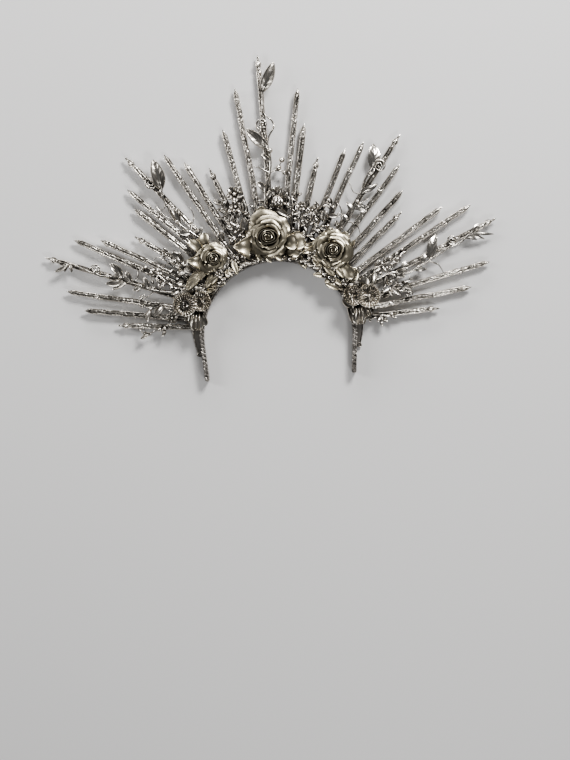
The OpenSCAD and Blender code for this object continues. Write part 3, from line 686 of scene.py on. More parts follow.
# Roses: the pixel of the heart, the core's radius, start, turns, corner and flatness, and the petals
# of each tier as turn, lip radius and half angle
ROSES = {
    "flower_2": {
        "heart": (213.4, 259), "core": (7.2, 60, 3.4, 0.1, 0.86),
        "petals": {
            OUTER: [(84, 15.6, 40), (28, 14.8, 38), (-30, 14.4, 36), (-88, 14.4, 36), (-138, 17.6, 32),
                    (172, 17, 34), (130, 16.4, 30)],
            SECOND: [(100, 13.8, 44), (18, 12.8, 46), (-64, 12.6, 44), (-140, 15, 38)],
            MIDDLE: [(142, 12, 50), (50, 11.4, 50), (-30, 10.8, 40), (-110, 11, 42)],
            INNER: [(160, 9, 52), (40, 8.8, 62), (-80, 8.8, 56)],
        },
    },
    "flower_3": {
        "heart": (267.6, 237.2), "core": (9.4, -24, 3.9, 0.34, 0.86),
        "petals": {
            OUTER: [(97, 27.4, 38), (48, 24.4, 34), (0, 22.6, 34), (-46, 21.4, 32), (-96, 21, 34),
                    (-142, 20, 32), (168, 20, 30), (134, 22, 28)],
            SECOND: [(84, 21.6, 46), (16, 19.8, 42), (-58, 19, 42), (-128, 17.8, 38), (166, 17.8, 40)],
            MIDDLE: [(70, 16.6, 52), (-8, 16, 44), (-84, 15.6, 44), (-150, 15, 36), (148, 15.2, 42)],
            INNER: [(44, 12.4, 56), (-54, 12, 52), (-140, 11.6, 44), (140, 12, 52)],
        },
    },
    "flower_4": {
        "heart": (332.8, 250.4), "core": (7.8, 120, 3.6, 0.1, 0.9),
        "petals": {
            OUTER: [(78, 20, 38), (32, 19.4, 34), (-16, 20, 34), (-62, 20.4, 34), (-110, 20.4, 34),
                    (-156, 21.4, 34), (156, 21, 32), (118, 20, 30)],
            SECOND: [(56, 17.4, 44), (-14, 18, 40), (-78, 17, 40), (-146, 17.4, 40), (136, 16.6, 40)],
            MIDDLE: [(64, 13.8, 52), (-18, 15, 46), (-96, 13.6, 44), (-172, 13.4, 46)],
            INNER: [(40, 10.6, 58), (-70, 10.4, 54), (170, 10.4, 58)],
        },
    },
}

# Petals and leaves beside each flower, in pixels: shape, base, tip, width, base's and tip's height
# above the node's underside and, where it is pleated, folds
BESIDE = {
    "flower_1": [
        ("fan", (196.4, 309), (197.6, 331), 14, 6, 9.6, 3), ("fan", (190, 311), (189.6, 323), 9, 5, 7, 2),
        ("petal", (200, 309), (206, 326), 9, 5, 7.6), ("leaf", (196, 309), (190.6, 318), 5, 8, 9),
        ("sepal", (189, 292), (181.6, 290), 9.6, 5, 6.4), ("petal", (191, 296), (196.6, 284.6), 9, 3.6, 6),
        ("leaf", (181, 303), (175.2, 292.8), 5, 5, 8.6),
    ],
    "flower_2": [
        ("sepal", (200, 261.6), (187, 260.6), 15.6, 7.6, 8.4),
        ("leaf", (201, 271), (186.6, 291), 9.4, 5, 7.6), ("petal", (203, 254), (190, 240), 12, 2.6, 4),
        ("petal", (206, 248), (203, 233), 12, 2.6, 4), ("petal", (211, 262), (216, 271.6), 5.4, 13.6, 11),
        ("leaf", (206, 270), (196, 282), 6, 6, 7), ("leaf", (214, 272), (206, 288), 6.4, 6, 7.6),
        ("leaf", (210, 284), (218.6, 276.4), 5, 8, 11), ("leaf", (211, 286.6), (225.4, 283.4), 4, 8, 11),
        ("leaf", (205, 291.8), (214.6, 289.4), 4.4, 7, 9.6),
        ("leaf", (232.6, 260.8), (237.6, 274.4), 5.4, 9.6, 13),
        ("leaf", (226, 270.4), (229.6, 279), 4.2, 9, 11.4),
        ("leaf", (229, 268.4), (232.6, 276), 4, 9.6, 12),
    ],
    "flower_3": [
        ("sepal", (250, 247.6), (233.6, 246.6), 24, 10, 11), ("petal", (286, 244), (304.6, 238), 21, 5, 8),
        ("petal", (284, 243), (297.4, 242), 17.6, 9, 12), ("petal", (283, 250), (300, 254.6), 11, 4, 8),
        ("leaf", (257, 255), (262, 261.6), 4, 9, 9), ("leaf", (266, 256), (271, 262), 4.4, 9, 9),
        ("leaf", (275, 255), (283, 260.6), 4.6, 9, 9), ("petal", (268, 218), (257.4, 208.6), 12, 3, 5),
    ],
    "flower_4": [
        ("sepal", (312, 247), (300.6, 245.4), 8.6, 8, 9.6),
        ("sepal", (312, 251), (300.8, 253), 8.6, 7.6, 9), ("leaf", (298, 255), (306, 268.8), 6.4, 6, 10.6),
        ("petal", (340, 262), (353.4, 278), 14, 4, 6.4),
        ("leaf", (349.4, 283), (355.4, 267.4), 11.4, 4.4, 6), ("petal", (326, 240), (333, 228.6), 13, 3, 6),
        ("petal", (339, 241), (348, 232.6), 9, 3, 5.4), ("leaf", (349, 250), (354.6, 240), 4, 3, 5),
        ("leaf", (322, 263), (312.6, 255.6), 5, 10, 12.4),
        ("leaf", (323, 268.4), (312.8, 261.4), 5, 9, 11.6),
        ("leaf", (331, 267.6), (321.6, 259.8), 5.2, 11, 13.4),
        ("leaf", (335, 275), (324, 266.8), 5.2, 10, 12.4), ("leaf", (336, 267), (343.6, 277.6), 5.4, 8, 11),
        ("leaf", (326.6, 276), (313, 274.4), 5.2, 8, 11),
        ("leaf", (340, 288.4), (325.4, 283.6), 6, 8, 11.4),
        ("leaf", (333, 277.4), (324.6, 282.4), 4.6, 8, 11.4),
        ("leaf", (333.6, 278), (341, 285), 4.8, 9, 11.6),
    ],
    "flower_5": [
        ("fan", (357.4, 303), (360.4, 324.4), 12, 8, 8.8, 3), ("fan", (361, 302), (369, 316), 9, 7, 7.6, 2),
        ("petal", (347.4, 304), (354.4, 323), 7, 5, 6), ("leaf", (343.6, 299), (350.4, 308), 6, 6.6, 8),
        ("leaf", (374.8, 272), (373.4, 284), 5, 3.2, 8), ("petal", (362, 290), (365.4, 276.6), 10, 5, 8.4),
        ("petal", (360, 291), (356, 279), 10, 4, 7), ("petal", (352, 303), (354.6, 314), 5.6, 9, 9.6, 2),
        ("petal", (364, 304), (373.4, 311.4), 6, 7, 8, 2),
    ],
}


def node_middle(node):
    """Middle of a node's underside, and its height, in millimetres."""
    low, high = (np.array(corner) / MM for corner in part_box(node))
    return np.append((low + high)[:2] / 2, low[2]), high[2] - low[2]


def add_calyx(cast, centre, radius, height):
    """Fluted cone that a flower's petals grow from."""
    add_stack(cast, centre, radius, height, CALYX, 30, 0.7, flute=0.05)


def add_beside(cast, node, base_z, rng):
    """Petals and leaves that stand beside a flower."""
    for shape, base, tip, width, low, high, *pleats in BESIDE[node]:
        folds = pleats[0] if pleats else 0
        veined = shape == "leaf"
        add_leaf(cast, seen(base, base_z + low), seen(tip, base_z + high), width, shape=shape,
                 folds=folds, cup=0.1 if folds else 0.14, bow=0.07 if veined else 0.14,
                 veins=6 if veined else 0, twist=rng.uniform(-0.2, 0.2), sway=rng.uniform(-0.04, 0.04),
                 thickness=0.9, fine=True, tarnish=0.25 if shape in ("sepal", "fan") else 0.6)


def rose(node, seed):
    """Rose of four tiers of petals round a spiral core, with the leaves beside it."""
    cast = Cast()
    rng = np.random.default_rng(seed)
    row = ROSES[node]
    foot, height = node_middle(node)
    centre = seen(row["heart"], foot[2] + HEART_LEVEL * height)
    centre[2] = foot[2]
    radius = max(lip for _, lip, _ in row["petals"][OUTER])
    add_calyx(cast, centre, 0.36 * radius, 0.6 * height)
    tilt = math.degrees(PHOTO_TURN)
    for tier, petals in row["petals"].items():
        for turn, lip, half in petals:
            add_petal(cast, centre, height * rng.uniform(0.96, 1.02), tier, turn + tilt, lip, half, rng)
    add_core(cast, centre, height, *row["core"])
    add_beside(cast, node, foot[2], rng)
    return cast


# Rings of a cup: shares of its radius and of its depth, and how deep its inner and outer ridges are there
CUP_PROFILE = np.array([
    (0.2, 0.0, 0, 0), (0.5, 0.06, 0, 0.5), (0.82, 0.36, 0, 0.8), (0.97, 0.8, 0, 0.4), (1.03, 0.97, 0, 0),
    (1.0, 1.03, 0, 0), (0.95, 0.96, 0.2, 0), (0.88, 0.8, 0.8, 0), (0.76, 0.64, 1, 0), (0.6, 0.52, 1, 0),
    (0.42, 0.44, 0.9, 0), (0.26, 0.4, 0.6, 0), (0.12, 0.4, 0.2, 0),
])
CUP_FLUTES = 24
CUP_DEPTH = 7.0


def add_cup(cast, centre, radius, tilt, heading):
    """Round cup with a thin smooth rim, ridges that run in to its middle, and six beads there."""
    share, level, inside, outside = np.split(CUP_PROFILE, 4, axis=1)
    a = np.linspace(0, 2 * math.pi, CUP_FLUTES * 8, endpoint=False)[None, :]
    wave = np.abs(np.cos(CUP_FLUTES / 2 * a + 0.45 * np.sin(3 * a + heading)))
    rho = share * (1 + 0.03 * outside * np.cos(CUP_FLUTES * a))
    z = level + 0.24 * inside * (wave - 0.6) + 0.025 * np.cos(2 * a + 1)
    rings = np.stack([radius * rho * np.cos(a), radius * rho * np.sin(a), CUP_DEPTH * z], -1)
    stain = np.clip(inside * (0.7 - 1.6 * wave) + 0.5 * outside, 0, 1)
    swing, lean = math.radians(heading), math.radians(tilt)
    axis = np.array([-math.sin(swing), math.cos(swing), 0])
    turn = (math.cos(lean) * np.eye(3) + math.sin(lean) * np.cross(np.eye(3), -axis)
            + (1 - math.cos(lean)) * np.outer(axis, axis))
    add_rings(cast, rings @ turn.T + centre, stain)
    for k in range(6):
        ring = 0.1 * radius * (k > 0)
        level = 0.46 + 0.1 * (k == 0)
        spot = np.array([ring * math.cos(1.26 * k), ring * math.sin(1.26 * k), level * CUP_DEPTH])
        add_bead(cast, turn @ spot + centre, 0.075 * radius, 8)


# Pansies: pixel of the middle, hand that mirrors the petals, and the two cups: pixel of the middle, how
# far the rim lies below the front, radius, tilt, heading. A core is as a rose's, in the second cup.
PANSIES = {
    "flower_1": {
        "middle": (194, 304.4), "hand": -1,
        "cups": [((203.2, 302.2), 3.2, 9.8, 16, -20), ((184.4, 305.4), 0.8, 11.4, 7, 210)],
        "core": (4.6, 30, 2.4, 0.3, 0.9),
    },
    "flower_5": {
        "middle": (359.5, 299), "hand": 1,
        "cups": [((351, 296.6), 3.2, 10, 16, 200), ((369.2, 296.4), 0.8, 11.4, 7, -30)],
        "core": None,
    },
}
# Petals of a pansy: turn from straight down, lip radius, half angle
PANSY_PETALS = [(-40, 15, 26), (16, 16, 24), (62, 15, 24), (150, 17, 30), (182, 18.6, 28), (214, 17, 30)]
PANSY_CALYX_R = 8.2
# Stalk under each cup: its radius at its lower and upper end, and how far these lie below the rim
STALK_R = (3.2, 2.4)
STALK_BELOW = (13, 6.4)


def pansy(node, seed):
    """Two ridged cups side by side over folded petals, each cup on a short stalk."""
    cast = Cast()
    rng = np.random.default_rng(seed)
    row = PANSIES[node]
    foot, height = node_middle(node)
    middle = seen(row["middle"], foot[2])
    add_calyx(cast, middle, PANSY_CALYX_R, 0.62 * height)
    down = math.degrees(PHOTO_TURN) - 90
    for turn, lip, half in PANSY_PETALS:
        add_petal(cast, middle, height, OUTER, down + row["hand"] * turn, lip, half, rng)
    for pixel, below, size, tilt, heading in row["cups"]:
        rim = foot[2] + height - below
        add_cup(cast, seen(pixel, rim - CUP_DEPTH), size, tilt, heading)
        add_tube(cast, [seen(pixel, rim - fall) for fall in STALK_BELOW], STALK_R, 12, tarnish=0.8)
    if row["core"]:
        centre = seen(row["cups"][-1][0], foot[2] + height)
        add_core(cast, [*centre[:2], foot[2]], height, *row["core"])
    add_beside(cast, node, foot[2], rng)
    return cast


# Sprays, in pixels of the photograph. Wires: radii at the two ends, points and, where leaves grow along
# it, their number and length. Leaves: base, tip, width, lift. Buds: base, tip, width, flutes.
# Blossoms: middle, radius, turn. Beads: middle, radius. Coils: centre, radius, degrees, turns.
SPRAYS = {
    "spray_upper_left": {
        "wires": [
            (1.2, 0.8, [(240, 238), (238, 226), (236, 214), (235, 198)], 5, 8),
            (1.1, 0.6, [(243, 236), (242, 224), (244, 215), (246.4, 210)], 4, 6),
            (1.0, 0.6, [(238, 232), (231, 223), (226, 214), (221, 204)], 7, 8),
            (0.8, 0.6, [(246.3, 212), (246.6, 206.6), (249.4, 204.6), (252.8, 207),
                        (254, 211.6), (251.5, 216), (247.4, 214)]),
        ],
        "leaves": [
            ((246.4, 235.4), (243.6, 217), 10, 4), ((221, 203), (213, 201), 4.6, 3),
            ((227.6, 213), (219.8, 208.8), 3.4, 3), ((231.4, 222.4), (223.6, 218.2), 4.6, 3),
            ((222.6, 241), (221.4, 230.6), 3.6, 1.6), ((242, 214), (247.6, 213.2), 2.4, 4),
            ((246, 214), (250, 217.4), 2.4, 3.6), ((234, 229.6), (226, 227), 3, 3),
            ((235.8, 207), (242.8, 195), 3.8, 1), ((238, 214), (241.6, 205), 3.6, 3),
        ],
        "buds": [
            ((236.6, 236.6), (229.4, 245), 7, 7), ((239.8, 232), (236.2, 222.6), 4.4, 6),
            ((230, 215.4), (229, 209), 4.6, 5),
        ],
        "blossoms": [((234.4, 194.4), 8.4, 58), ((235.6, 207), 6.4, 100)],
        "beads": [
            ((228.4, 227.8), 1.8), ((231.6, 229), 1.7), ((240, 235.8), 2.2), ((235.4, 232.4), 1.9),
            ((232.5, 215.4), 1.9), ((243.4, 237), 1.7),
        ],
        "coils": [((240.6, 239), 3, 200, 1.3)],
    },
    "spray_upper_right": {
        "wires": [
            (1.2, 0.8, [(304, 240), (308, 226), (316, 213), (325, 203)], 7, 8.5),
            (1.1, 0.6, [(305, 238), (318, 229), (328, 217), (331, 204)], 6, 8),
            (1.1, 0.6, [(300, 240), (299, 224), (302, 208)], 6, 7.5),
            (0.9, 0.6, [(312, 240), (325, 235), (338, 229)], 5, 7),
            (0.7, 0.45, [(337.6, 203.4), (340.6, 208), (341.8, 215), (340, 222), (334, 226)]),
            (1.0, 0.8, [(327.6, 206.4), (334, 206.8)]),
        ],
        "leaves": [
            ((330.6, 204.4), (329.6, 197.6), 4.6, 4), ((323.6, 221), (325.4, 210.4), 8.4, 4),
            ((319.8, 222.4), (314.2, 216.2), 4.6, 4), ((316, 221.4), (316.4, 227.6), 3.4, 4),
            ((311.6, 220), (310.8, 214.4), 3, 3), ((303, 225.4), (303.4, 219.4), 3.4, 4),
            ((309, 224), (301, 215), 5, 3), ((338, 228), (336.4, 220.4), 3, 3),
            ((318, 214), (314, 204), 5, 3),
        ],
        "buds": [((321, 234.6), (314.6, 227.4), 5, 6), ((306.6, 214), (308.6, 206.4), 4.6, 6)],
        "blossoms": [((301.6, 206), 4.8, 20), ((312.4, 210.4), 4.8, 80)],
        "beads": [
            ((304, 217), 2.1), ((333.4, 207.2), 1.9), ((319, 237), 1.9), ((328, 226), 1.9),
            ((325.4, 226.4), 1.4),
        ],
        "coils": [((339, 214.4), 2.8, 0, 1.4)],
    },
    "thistle_spray": {
        "wires": [
            (1.3, 1.2, [(281, 228), (279.6, 216), (277.6, 205)], 2, 6),
            (0.9, 0.6, [(291, 226), (293, 210), (291.6, 193)], 7, 6.5),
            (0.8, 0.5, [(295, 222), (296, 206), (298.6, 192)], 5, 6),
            (0.9, 0.6, [(270, 226), (267.4, 213), (263, 200)], 6, 6.5),
        ],
        "leaves": [
            ((275, 202), (269.6, 191), 4.4, 2), ((276, 200), (272.2, 187.4), 4.2, 3.4),
            ((277, 199), (275.6, 185.6), 4.2, 4.6), ((278, 199), (279.4, 185.4), 4.2, 5),
            ((279, 200), (283, 187), 4.2, 4), ((280, 202), (286, 190.6), 4.4, 2.6),
            ((276.4, 202), (273.6, 191), 3.4, 6), ((278.6, 202), (281.2, 190.6), 3.4, 6.4),
            ((273, 206), (288.8, 217), 6, 3.4), ((275, 213), (286, 222), 5, 3.4),
            ((276, 218), (269.4, 208), 5, 4),
        ],
        "buds": [((277.6, 208.4), (277.4, 194.4), 12.4, 9), ((287, 209), (288.6, 202), 4, 5)],
        "beads": [((284.8, 204), 1.8), ((271, 217), 2.2), ((277.6, 208), 2.4)],
        "coils": [((271.6, 205.6), 2.6, 60, 1.4)],
    },
    "bud_sprig_left": {
        "wires": [
            (1.1, 0.7, [(187, 294), (172, 286), (158, 275), (146, 267.4), (143, 268.2)], 2, 5),
            (0.7, 0.4, [(166, 281), (162, 284), (160, 287)]),
            (0.6, 0.4, [(153, 271), (151, 276), (152.6, 282.4)]),
        ],
        "leaves": [
            ((166, 281), (158.6, 287), 4, 3), ((180, 290), (171, 294), 5, 3),
            ((171, 285), (166, 278.6), 3.6, 3), ((153, 283.6), (151.6, 279.4), 2.4, 2),
        ],
        "buds": [((156, 274), (157.6, 268.4), 3, 5), ((160, 280), (155.6, 282.6), 3, 5)],
        "beads": [
            ((153.2, 270), 2.2), ((151.2, 272.8), 2.4), ((158.2, 273.6), 2.1), ((160.8, 273.8), 1.7),
            ((156.4, 279), 1.9), ((157.8, 276.4), 1.8), ((167.5, 278.2), 2.1), ((162, 278), 1.9),
            ((163.2, 285), 2), ((165.6, 281.8), 2.1), ((171.8, 288), 2.3), ((145.6, 267.4), 2),
            ((179.8, 288.4), 2.4),
        ],
        "coils": [((141, 270), 2.4, 90, 1.3)],
    },
    "bud_sprig_right": {
        "wires": [
            (1.0, 0.7, [(371, 270), (380, 265.8), (392, 260), (404, 251.4)]),
            (0.7, 0.5, [(374.4, 268.4), (374.8, 264.6), (378, 260.8), (381, 262)]),
            (0.7, 0.5, [(381.6, 264.6), (384, 268.4), (386, 270)]),
            (0.6, 0.5, [(376.4, 267.2), (379, 270), (380.3, 273)]),
        ],
        "leaves": [
            ((375.8, 267), (377.8, 262.4), 2.6, 3), ((380, 266), (373.6, 271.4), 3.6, 3),
            ((386.6, 262.8), (384, 256.8), 3, 3), ((392, 260.4), (399, 262), 3, 3),
        ],
        "buds": [
            ((390, 261), (389.4, 255.2), 2.8, 5), ((397, 257.6), (396, 251.4), 2.8, 5),
            ((383, 267.4), (381.6, 261), 2.8, 5), ((377.8, 264.6), (380, 259.4), 3, 5),
        ],
        "beads": [
            ((391.8, 264), 1.8), ((393.6, 261.8), 1.6), ((397.6, 258.8), 1.7), ((400.6, 256.4), 1.6),
            ((402.2, 249.2), 1.7), ((404.6, 252.4), 1.8), ((385.2, 270), 2), ((387, 267.8), 1.6),
            ((380.4, 273.2), 1.8), ((376.6, 267.4), 1.8),
        ],
        "coils": [((390.4, 267.4), 2.4, 60, 1.4)],
    },
    "leaf_bunch_right": {
        "wires": [
            (1.2, 0.8, [(382, 292), (392, 287), (404, 282.6), (411, 279)], 3, 6),
            (1.0, 0.7, [(384, 292), (396, 291), (409, 290.6)], 2, 6),
            (0.8, 0.5, [(383, 290), (388, 281), (396, 276), (405, 271)], 2, 6),
            (0.5, 0.35, [(409.4, 275.4), (409.2, 279.6), (406.4, 283)]),
        ],
        "leaves": [
            ((385.6, 284), (386.8, 276), 3, 3), ((386.6, 278.6), (395.4, 275.4), 3.6, 3),
            ((385, 284.4), (394, 280), 3.8, 3), ((395, 273.6), (407.4, 268), 4.2, 3),
            ((399.6, 275.4), (405, 270.8), 3, 3), ((394.4, 277.2), (405.6, 276.4), 3, 4),
            ((401.6, 283.6), (404.8, 280.8), 2.6, 4), ((393.6, 286.6), (402.6, 286), 3, 4),
            ((391, 286), (400.8, 295.2), 5.2, 4), ((388.6, 288.8), (392.2, 296.4), 3, 3),
            ((382.6, 297.4), (390.6, 294.4), 2.6, 3), ((403.6, 284.6), (411.6, 289.4), 5.4, 4),
        ],
        "buds": [((407, 291), (413.4, 294.4), 4.6, 6)],
        "beads": [((407.4, 295), 1.7), ((390, 288.8), 2), ((397.4, 284.4), 1.7)],
    },
    "petal_cluster_left": {
        "wires": [
            (1.2, 1.0, [(192, 270), (181, 263), (170, 256), (163, 251)], 4, 7),
            (0.8, 0.6, [(160.8, 257.6), (162.6, 259.4), (166, 260.6), (171, 265), (175, 268)]),
            (0.9, 0.7, [(170.4, 272), (173.6, 269.6), (177, 272), (181, 275.4)]),
            (0.5, 0.3, [(160.8, 257.6), (157, 257.4), (153.6, 259.6)]),
            (0.5, 0.3, [(170, 264.6), (165.6, 264.4), (161.4, 268)]),
        ],
        "leaves": [
            ((181, 262), (172, 252.6), 8.6, 4), ((178, 261.8), (169.2, 260.4), 6, 4),
            ((181.6, 262.8), (179.8, 254.6), 3.8, 0.8), ((184.6, 267.6), (191, 272.6), 5, 3),
            ((183, 268), (175, 266), 7, 4), ((184, 270), (177.6, 274), 6, 3),
            ((167, 256), (163.4, 248), 3.4, 3),
        ],
        "buds": [((175.6, 264), (172.8, 257.8), 4.6, 6), ((165, 259), (162.4, 252), 3.4, 5)],
        "blossoms": [((168.6, 255.4), 3.6, 0)],
        "beads": [((179.8, 253.6), 1.8), ((183, 263.8), 2.4), ((177.4, 279), 1.9)],
        "coils": [((183.2, 275.8), 3, 180, 1.3)],
    },
    "leaf_pair_left": {
        "wires": [(1.1, 0.9, [(192, 284), (188, 283), (184, 286)], 2, 5)],
        "leaves": [
            ((189, 284), (181.6, 291), 8, 4), ((187, 283), (177.6, 284.4), 7, 4),
            ((190, 281), (184, 275), 6, 4),
        ],
        "beads": [((188, 283.6), 2.5)],
    },
    "twig_left": {
        "wires": [
            (1.0, 0.7, [(184, 316), (172, 312), (162, 307), (156, 307.4), (150, 310)], 2, 5),
            (0.9, 0.6, [(184, 327), (177, 324.8), (167, 329), (158, 329.8),
                        (150, 333), (143.6, 333.4), (140.2, 330)]),
            (0.6, 0.4, [(142, 325.8), (144, 329), (146.4, 333)]),
            (0.6, 0.4, [(152, 308.8), (147.4, 307.8), (143.6, 306)]),
        ],
        "leaves": [
            ((150.4, 310.4), (147.2, 321.4), 4.6, 3), ((162.4, 306), (154.2, 316.8), 6, 3),
            ((164.8, 329.8), (162.2, 336.4), 2.6, 2), ((148, 333.6), (140.8, 338.8), 3, 2),
            ((143.4, 333.4), (151.6, 334), 3, 3),
        ],
        "buds": [((144, 306), (138.6, 306), 2.6, 5)],
        "blossoms": [((172.4, 318), 6.4, 20)],
        "beads": [((159.8, 329.7), 2.3), ((164.8, 328.3), 2.2)],
        "coils": [((142, 297), 3, 40, 1.6)],
    },
    "twig_right": {
        "wires": [
            (1.0, 0.6, [(372, 315), (384, 315.6), (396, 315), (404, 314)], 2, 5),
            (0.8, 0.5, [(377, 315.4), (380.4, 319), (382, 325)]),
            (0.7, 0.4, [(370, 320.4), (373.6, 318), (378, 317)]),
        ],
        "leaves": [
            ((381, 316), (377.4, 321.6), 3.4, 3), ((382, 318), (387.4, 321.4), 3.4, 3),
            ((390, 315), (396, 318), 3, 3),
        ],
        "buds": [((381.4, 321), (382.4, 327), 3, 5)],
        "beads": [((392, 314), 2), ((370, 320.6), 1.4)],
    },
}
# Height of the sprays' wires above FRONT_Z
SPRAY_WIRE_Z = 0.6


def spray(node, seed):
    """Wires, leaves, buds, blossoms, beads and coils that lie on the rays."""
    cast = Cast()
    rng = np.random.default_rng(seed)
    row = SPRAYS[node]
    z = FRONT_Z + SPRAY_WIRE_Z
    for first, last, points, *growth in row["wires"]:
        line = curve([seen(p, z + 0.9 * (k % 2)) for k, p in enumerate(points)], 9)
        add_tube(cast, line, np.linspace(first, last, len(line)), 8, relief=0.15)
        if growth:
            add_foliage(cast, line, *growth, rng)
    for base, tip, width, lift in row["leaves"]:
        add_leaf(cast, seen(base, z), seen(tip, z + lift), width, thickness=0.85, fine=True,
                 twist=rng.uniform(-0.4, 0.4), sway=rng.uniform(-0.08, 0.08), tarnish=0.6)
    for base, tip, width, flutes in row.get("buds", []):
        add_bud(cast, seen(base, z + 0.3 * width), seen(tip, z + 0.4 * width), width, flutes)
    for middle, radius, turn in row.get("blossoms", []):
        add_blossom(cast, seen(middle, z + 2), radius, turn, rng)
        add_tube(cast, [seen(middle, z), seen(middle, z + 2.4)], 1.0, 8)
    for middle, radius in row["beads"]:
        add_bead(cast, seen(middle, z + 0.5), radius)
    for centre, radius, start, turns in row.get("coils", []):
        add_coil(cast, seen(centre, z + 0.4), radius, start, turns, 0.65)
    return cast


# Garlands: angles about the arch's centre where each one starts and ends
GARLANDS = {"garland_left": (-61, -11), "garland_right": (61, 11)}
# Radii about the same centre: the stems, and where the tips of the inner and the outer leaves lie
GARLAND_R = 82.2
INNER_TIPS = (74.4, 76.4)
OUTER_TIPS = (88, 93.5)
# Pairs of leaves along a garland
GARLAND_PAIRS = 18


def garland(node, seed):
    """Laurel with beads that fills the gap between the rays' roots and the band."""
    cast = Cast()
    rng = np.random.default_rng(seed)
    low, high = low_z(node), high_z(node)
    first, last = GARLANDS[node]
    onward = 1 if last > first else -1

    def place(angle, radius, z):
        return np.append(ARCH + polar(radius, angle), z)

    def stem(t):
        rise = math.sin(math.pi * t) ** 0.5
        return place(mix(first, last, t), GARLAND_R, mix(low + 1.6, low + 11.5, rise))

    add_tube(cast, [stem(t) for t in np.linspace(0, 1, 40)], 1.3, 8, relief=0.15)
    for k in range(GARLAND_PAIRS):
        t = (k + 0.4) / GARLAND_PAIRS
        angle = mix(first, last, t)
        base = stem(t)
        for radius, z in [(rng.uniform(*INNER_TIPS), high - rng.uniform(0.3, 1.6)),
                          (rng.uniform(*OUTER_TIPS), base[2] + rng.uniform(0, 3.5))]:
            tip = place(angle + onward * rng.uniform(3, 8), radius, z)
            add_leaf(cast, base, tip, rng.uniform(4.0, 5.8), fine=True, twist=rng.uniform(-0.5, 0.5),
                     veins=4, sway=onward * rng.uniform(-0.02, 0.1))
        if k % 2:
            add_bead(cast, place(angle + 1.6, rng.uniform(79, 85), base[2] + 1.8), rng.uniform(1.5, 2.3))
        if k % 5 == 2:
            centre = place(angle, rng.uniform(84, 88), base[2] + 3)
            add_blossom(cast, centre, rng.uniform(3.6, 4.8), 40 * k, rng)
    return cast


# Length of band that each turn of its wrapping covers
WRAP_STEP = 4.2
# Corners round the band's section: place across it, and height as a share of its depth
BAND_ACROSS = np.array([-1, -1, -0.92, -0.62, -0.3, 0, 0.3, 0.62, 0.92, 1, 1, 1, 1, 0.8, -0.8, -1, -1, -1])
BAND_LEVEL = np.array([0.7, 0.93, 0.99, 1, 0.985, 0.98, 0.985, 1, 0.99, 0.93, 0.7, 0.4, 0.05, 0, 0, 0.05,
                       0.4, 0.55])


def band():
    """Band over the head: a rounded bar wrapped in a ribbon, deep at the top and slimmer at its ends."""
    cast = Cast()
    bend = 90 + LEG_LEAN
    radius = HEAD_R + BAND_T / 2
    start = ARCH + polar(radius, bend)
    leg = polar(1, 180 + LEG_LEAN)
    right = np.array([start + leg * step for step in np.linspace(LEG_LEN, 0, 61)[:-1]])
    arch = [ARCH + polar(radius, a) for a in np.linspace(bend, -bend, 400)]
    left = np.array([2 * ARCH[0], 0]) + right[::-1] * [-1, 1]
    line = np.vstack([right, arch, left])
    tangent = unit(np.gradient(line, axis=0))
    out = np.stack([tangent[:, 1], -tangent[:, 0]], -1)
    rows = len(line)
    deep = mix(BAND_END, BAND_TOP, (line[:, 1] - line[:, 1].min()) / np.ptp(line[:, 1]))
    ends = np.minimum(np.arange(rows), np.arange(rows)[::-1])
    cap = 0.55 + 0.45 * np.sqrt(np.clip(ends / 3, 0, 1))
    half = (BAND_T / 2 * cap)[:, None] * BAND_ACROSS
    z = mix(0.5 * deep[:, None], deep[:, None] * BAND_LEVEL, cap[:, None])
    rings = np.concatenate([line[:, None] + half[..., None] * out[:, None], z[..., None]], -1)
    pits = smooth(0.0, 0.6, noise(rings, 1.5, 31))
    dents = noise(rings, 4.5, 32)
    wrap = (run_of(line)[:, None] + 1.6 * BAND_ACROSS + 0.5 * dents) % WRAP_STEP / WRAP_STEP
    seam = np.exp(-(np.minimum(wrap, 1 - wrap) / 0.09) ** 2)
    front = smooth(0.9, 0.98, BAND_LEVEL)
    inward = 0.3 * pits + 0.1 * np.abs(dents) + 0.5 * seam + 0.22 * (1 - wrap)
    rings[..., 2] -= front * inward
    rings[..., :2] -= (0.5 * inward * np.sign(BAND_ACROSS) * (1 - front))[..., None] * out[:, None]
    stain = np.clip(0.16 + 0.4 * pits + 0.5 * seam - 0.3 * dents, 0, 1)
    add_rings(cast, rings, stain)
    return cast


# Wires along the outer edge of the plate's right horn and round its knob, which the left horn mirrors:
# middle of the circle from the arch's centre, its radius, first and last angle, points, depth of dents
PLATE_WIRES = [((0, 13.5), 85.2, (-17.6, 22), 60, 0.2), ((80.2, -14), 1.9, (0, 360), 28, 0.1)]
PLATE_WIRE_R = 0.75


def plate_rim():
    """Bright wire along the outer edge of the plate's horns, with a ring round each knob."""
    cast = Cast()
    top = high_z("halo_base")
    for side in (-1, 1):
        for middle, radius, angles, count, relief in PLATE_WIRES:
            circle = [middle + radius * np.array([math.cos(a), math.sin(a)])
                      for a in np.radians(np.linspace(*angles, count))]
            path = [np.append(ARCH + p * [side, 1], top) for p in circle]
            add_tube(cast, path, PLATE_WIRE_R, relief=relief)
    return cast


def ramp(nodes, stops):
    """Colour ramp through the given places and colours."""
    node = nodes.new("ShaderNodeValToRGB")
    while len(node.color_ramp.elements) < len(stops):
        node.color_ramp.elements.new(0.5)
    for element, (place, colour) in zip(node.color_ramp.elements, stops):
        element.position = place
        element.color = (*colour, 1)
    return node


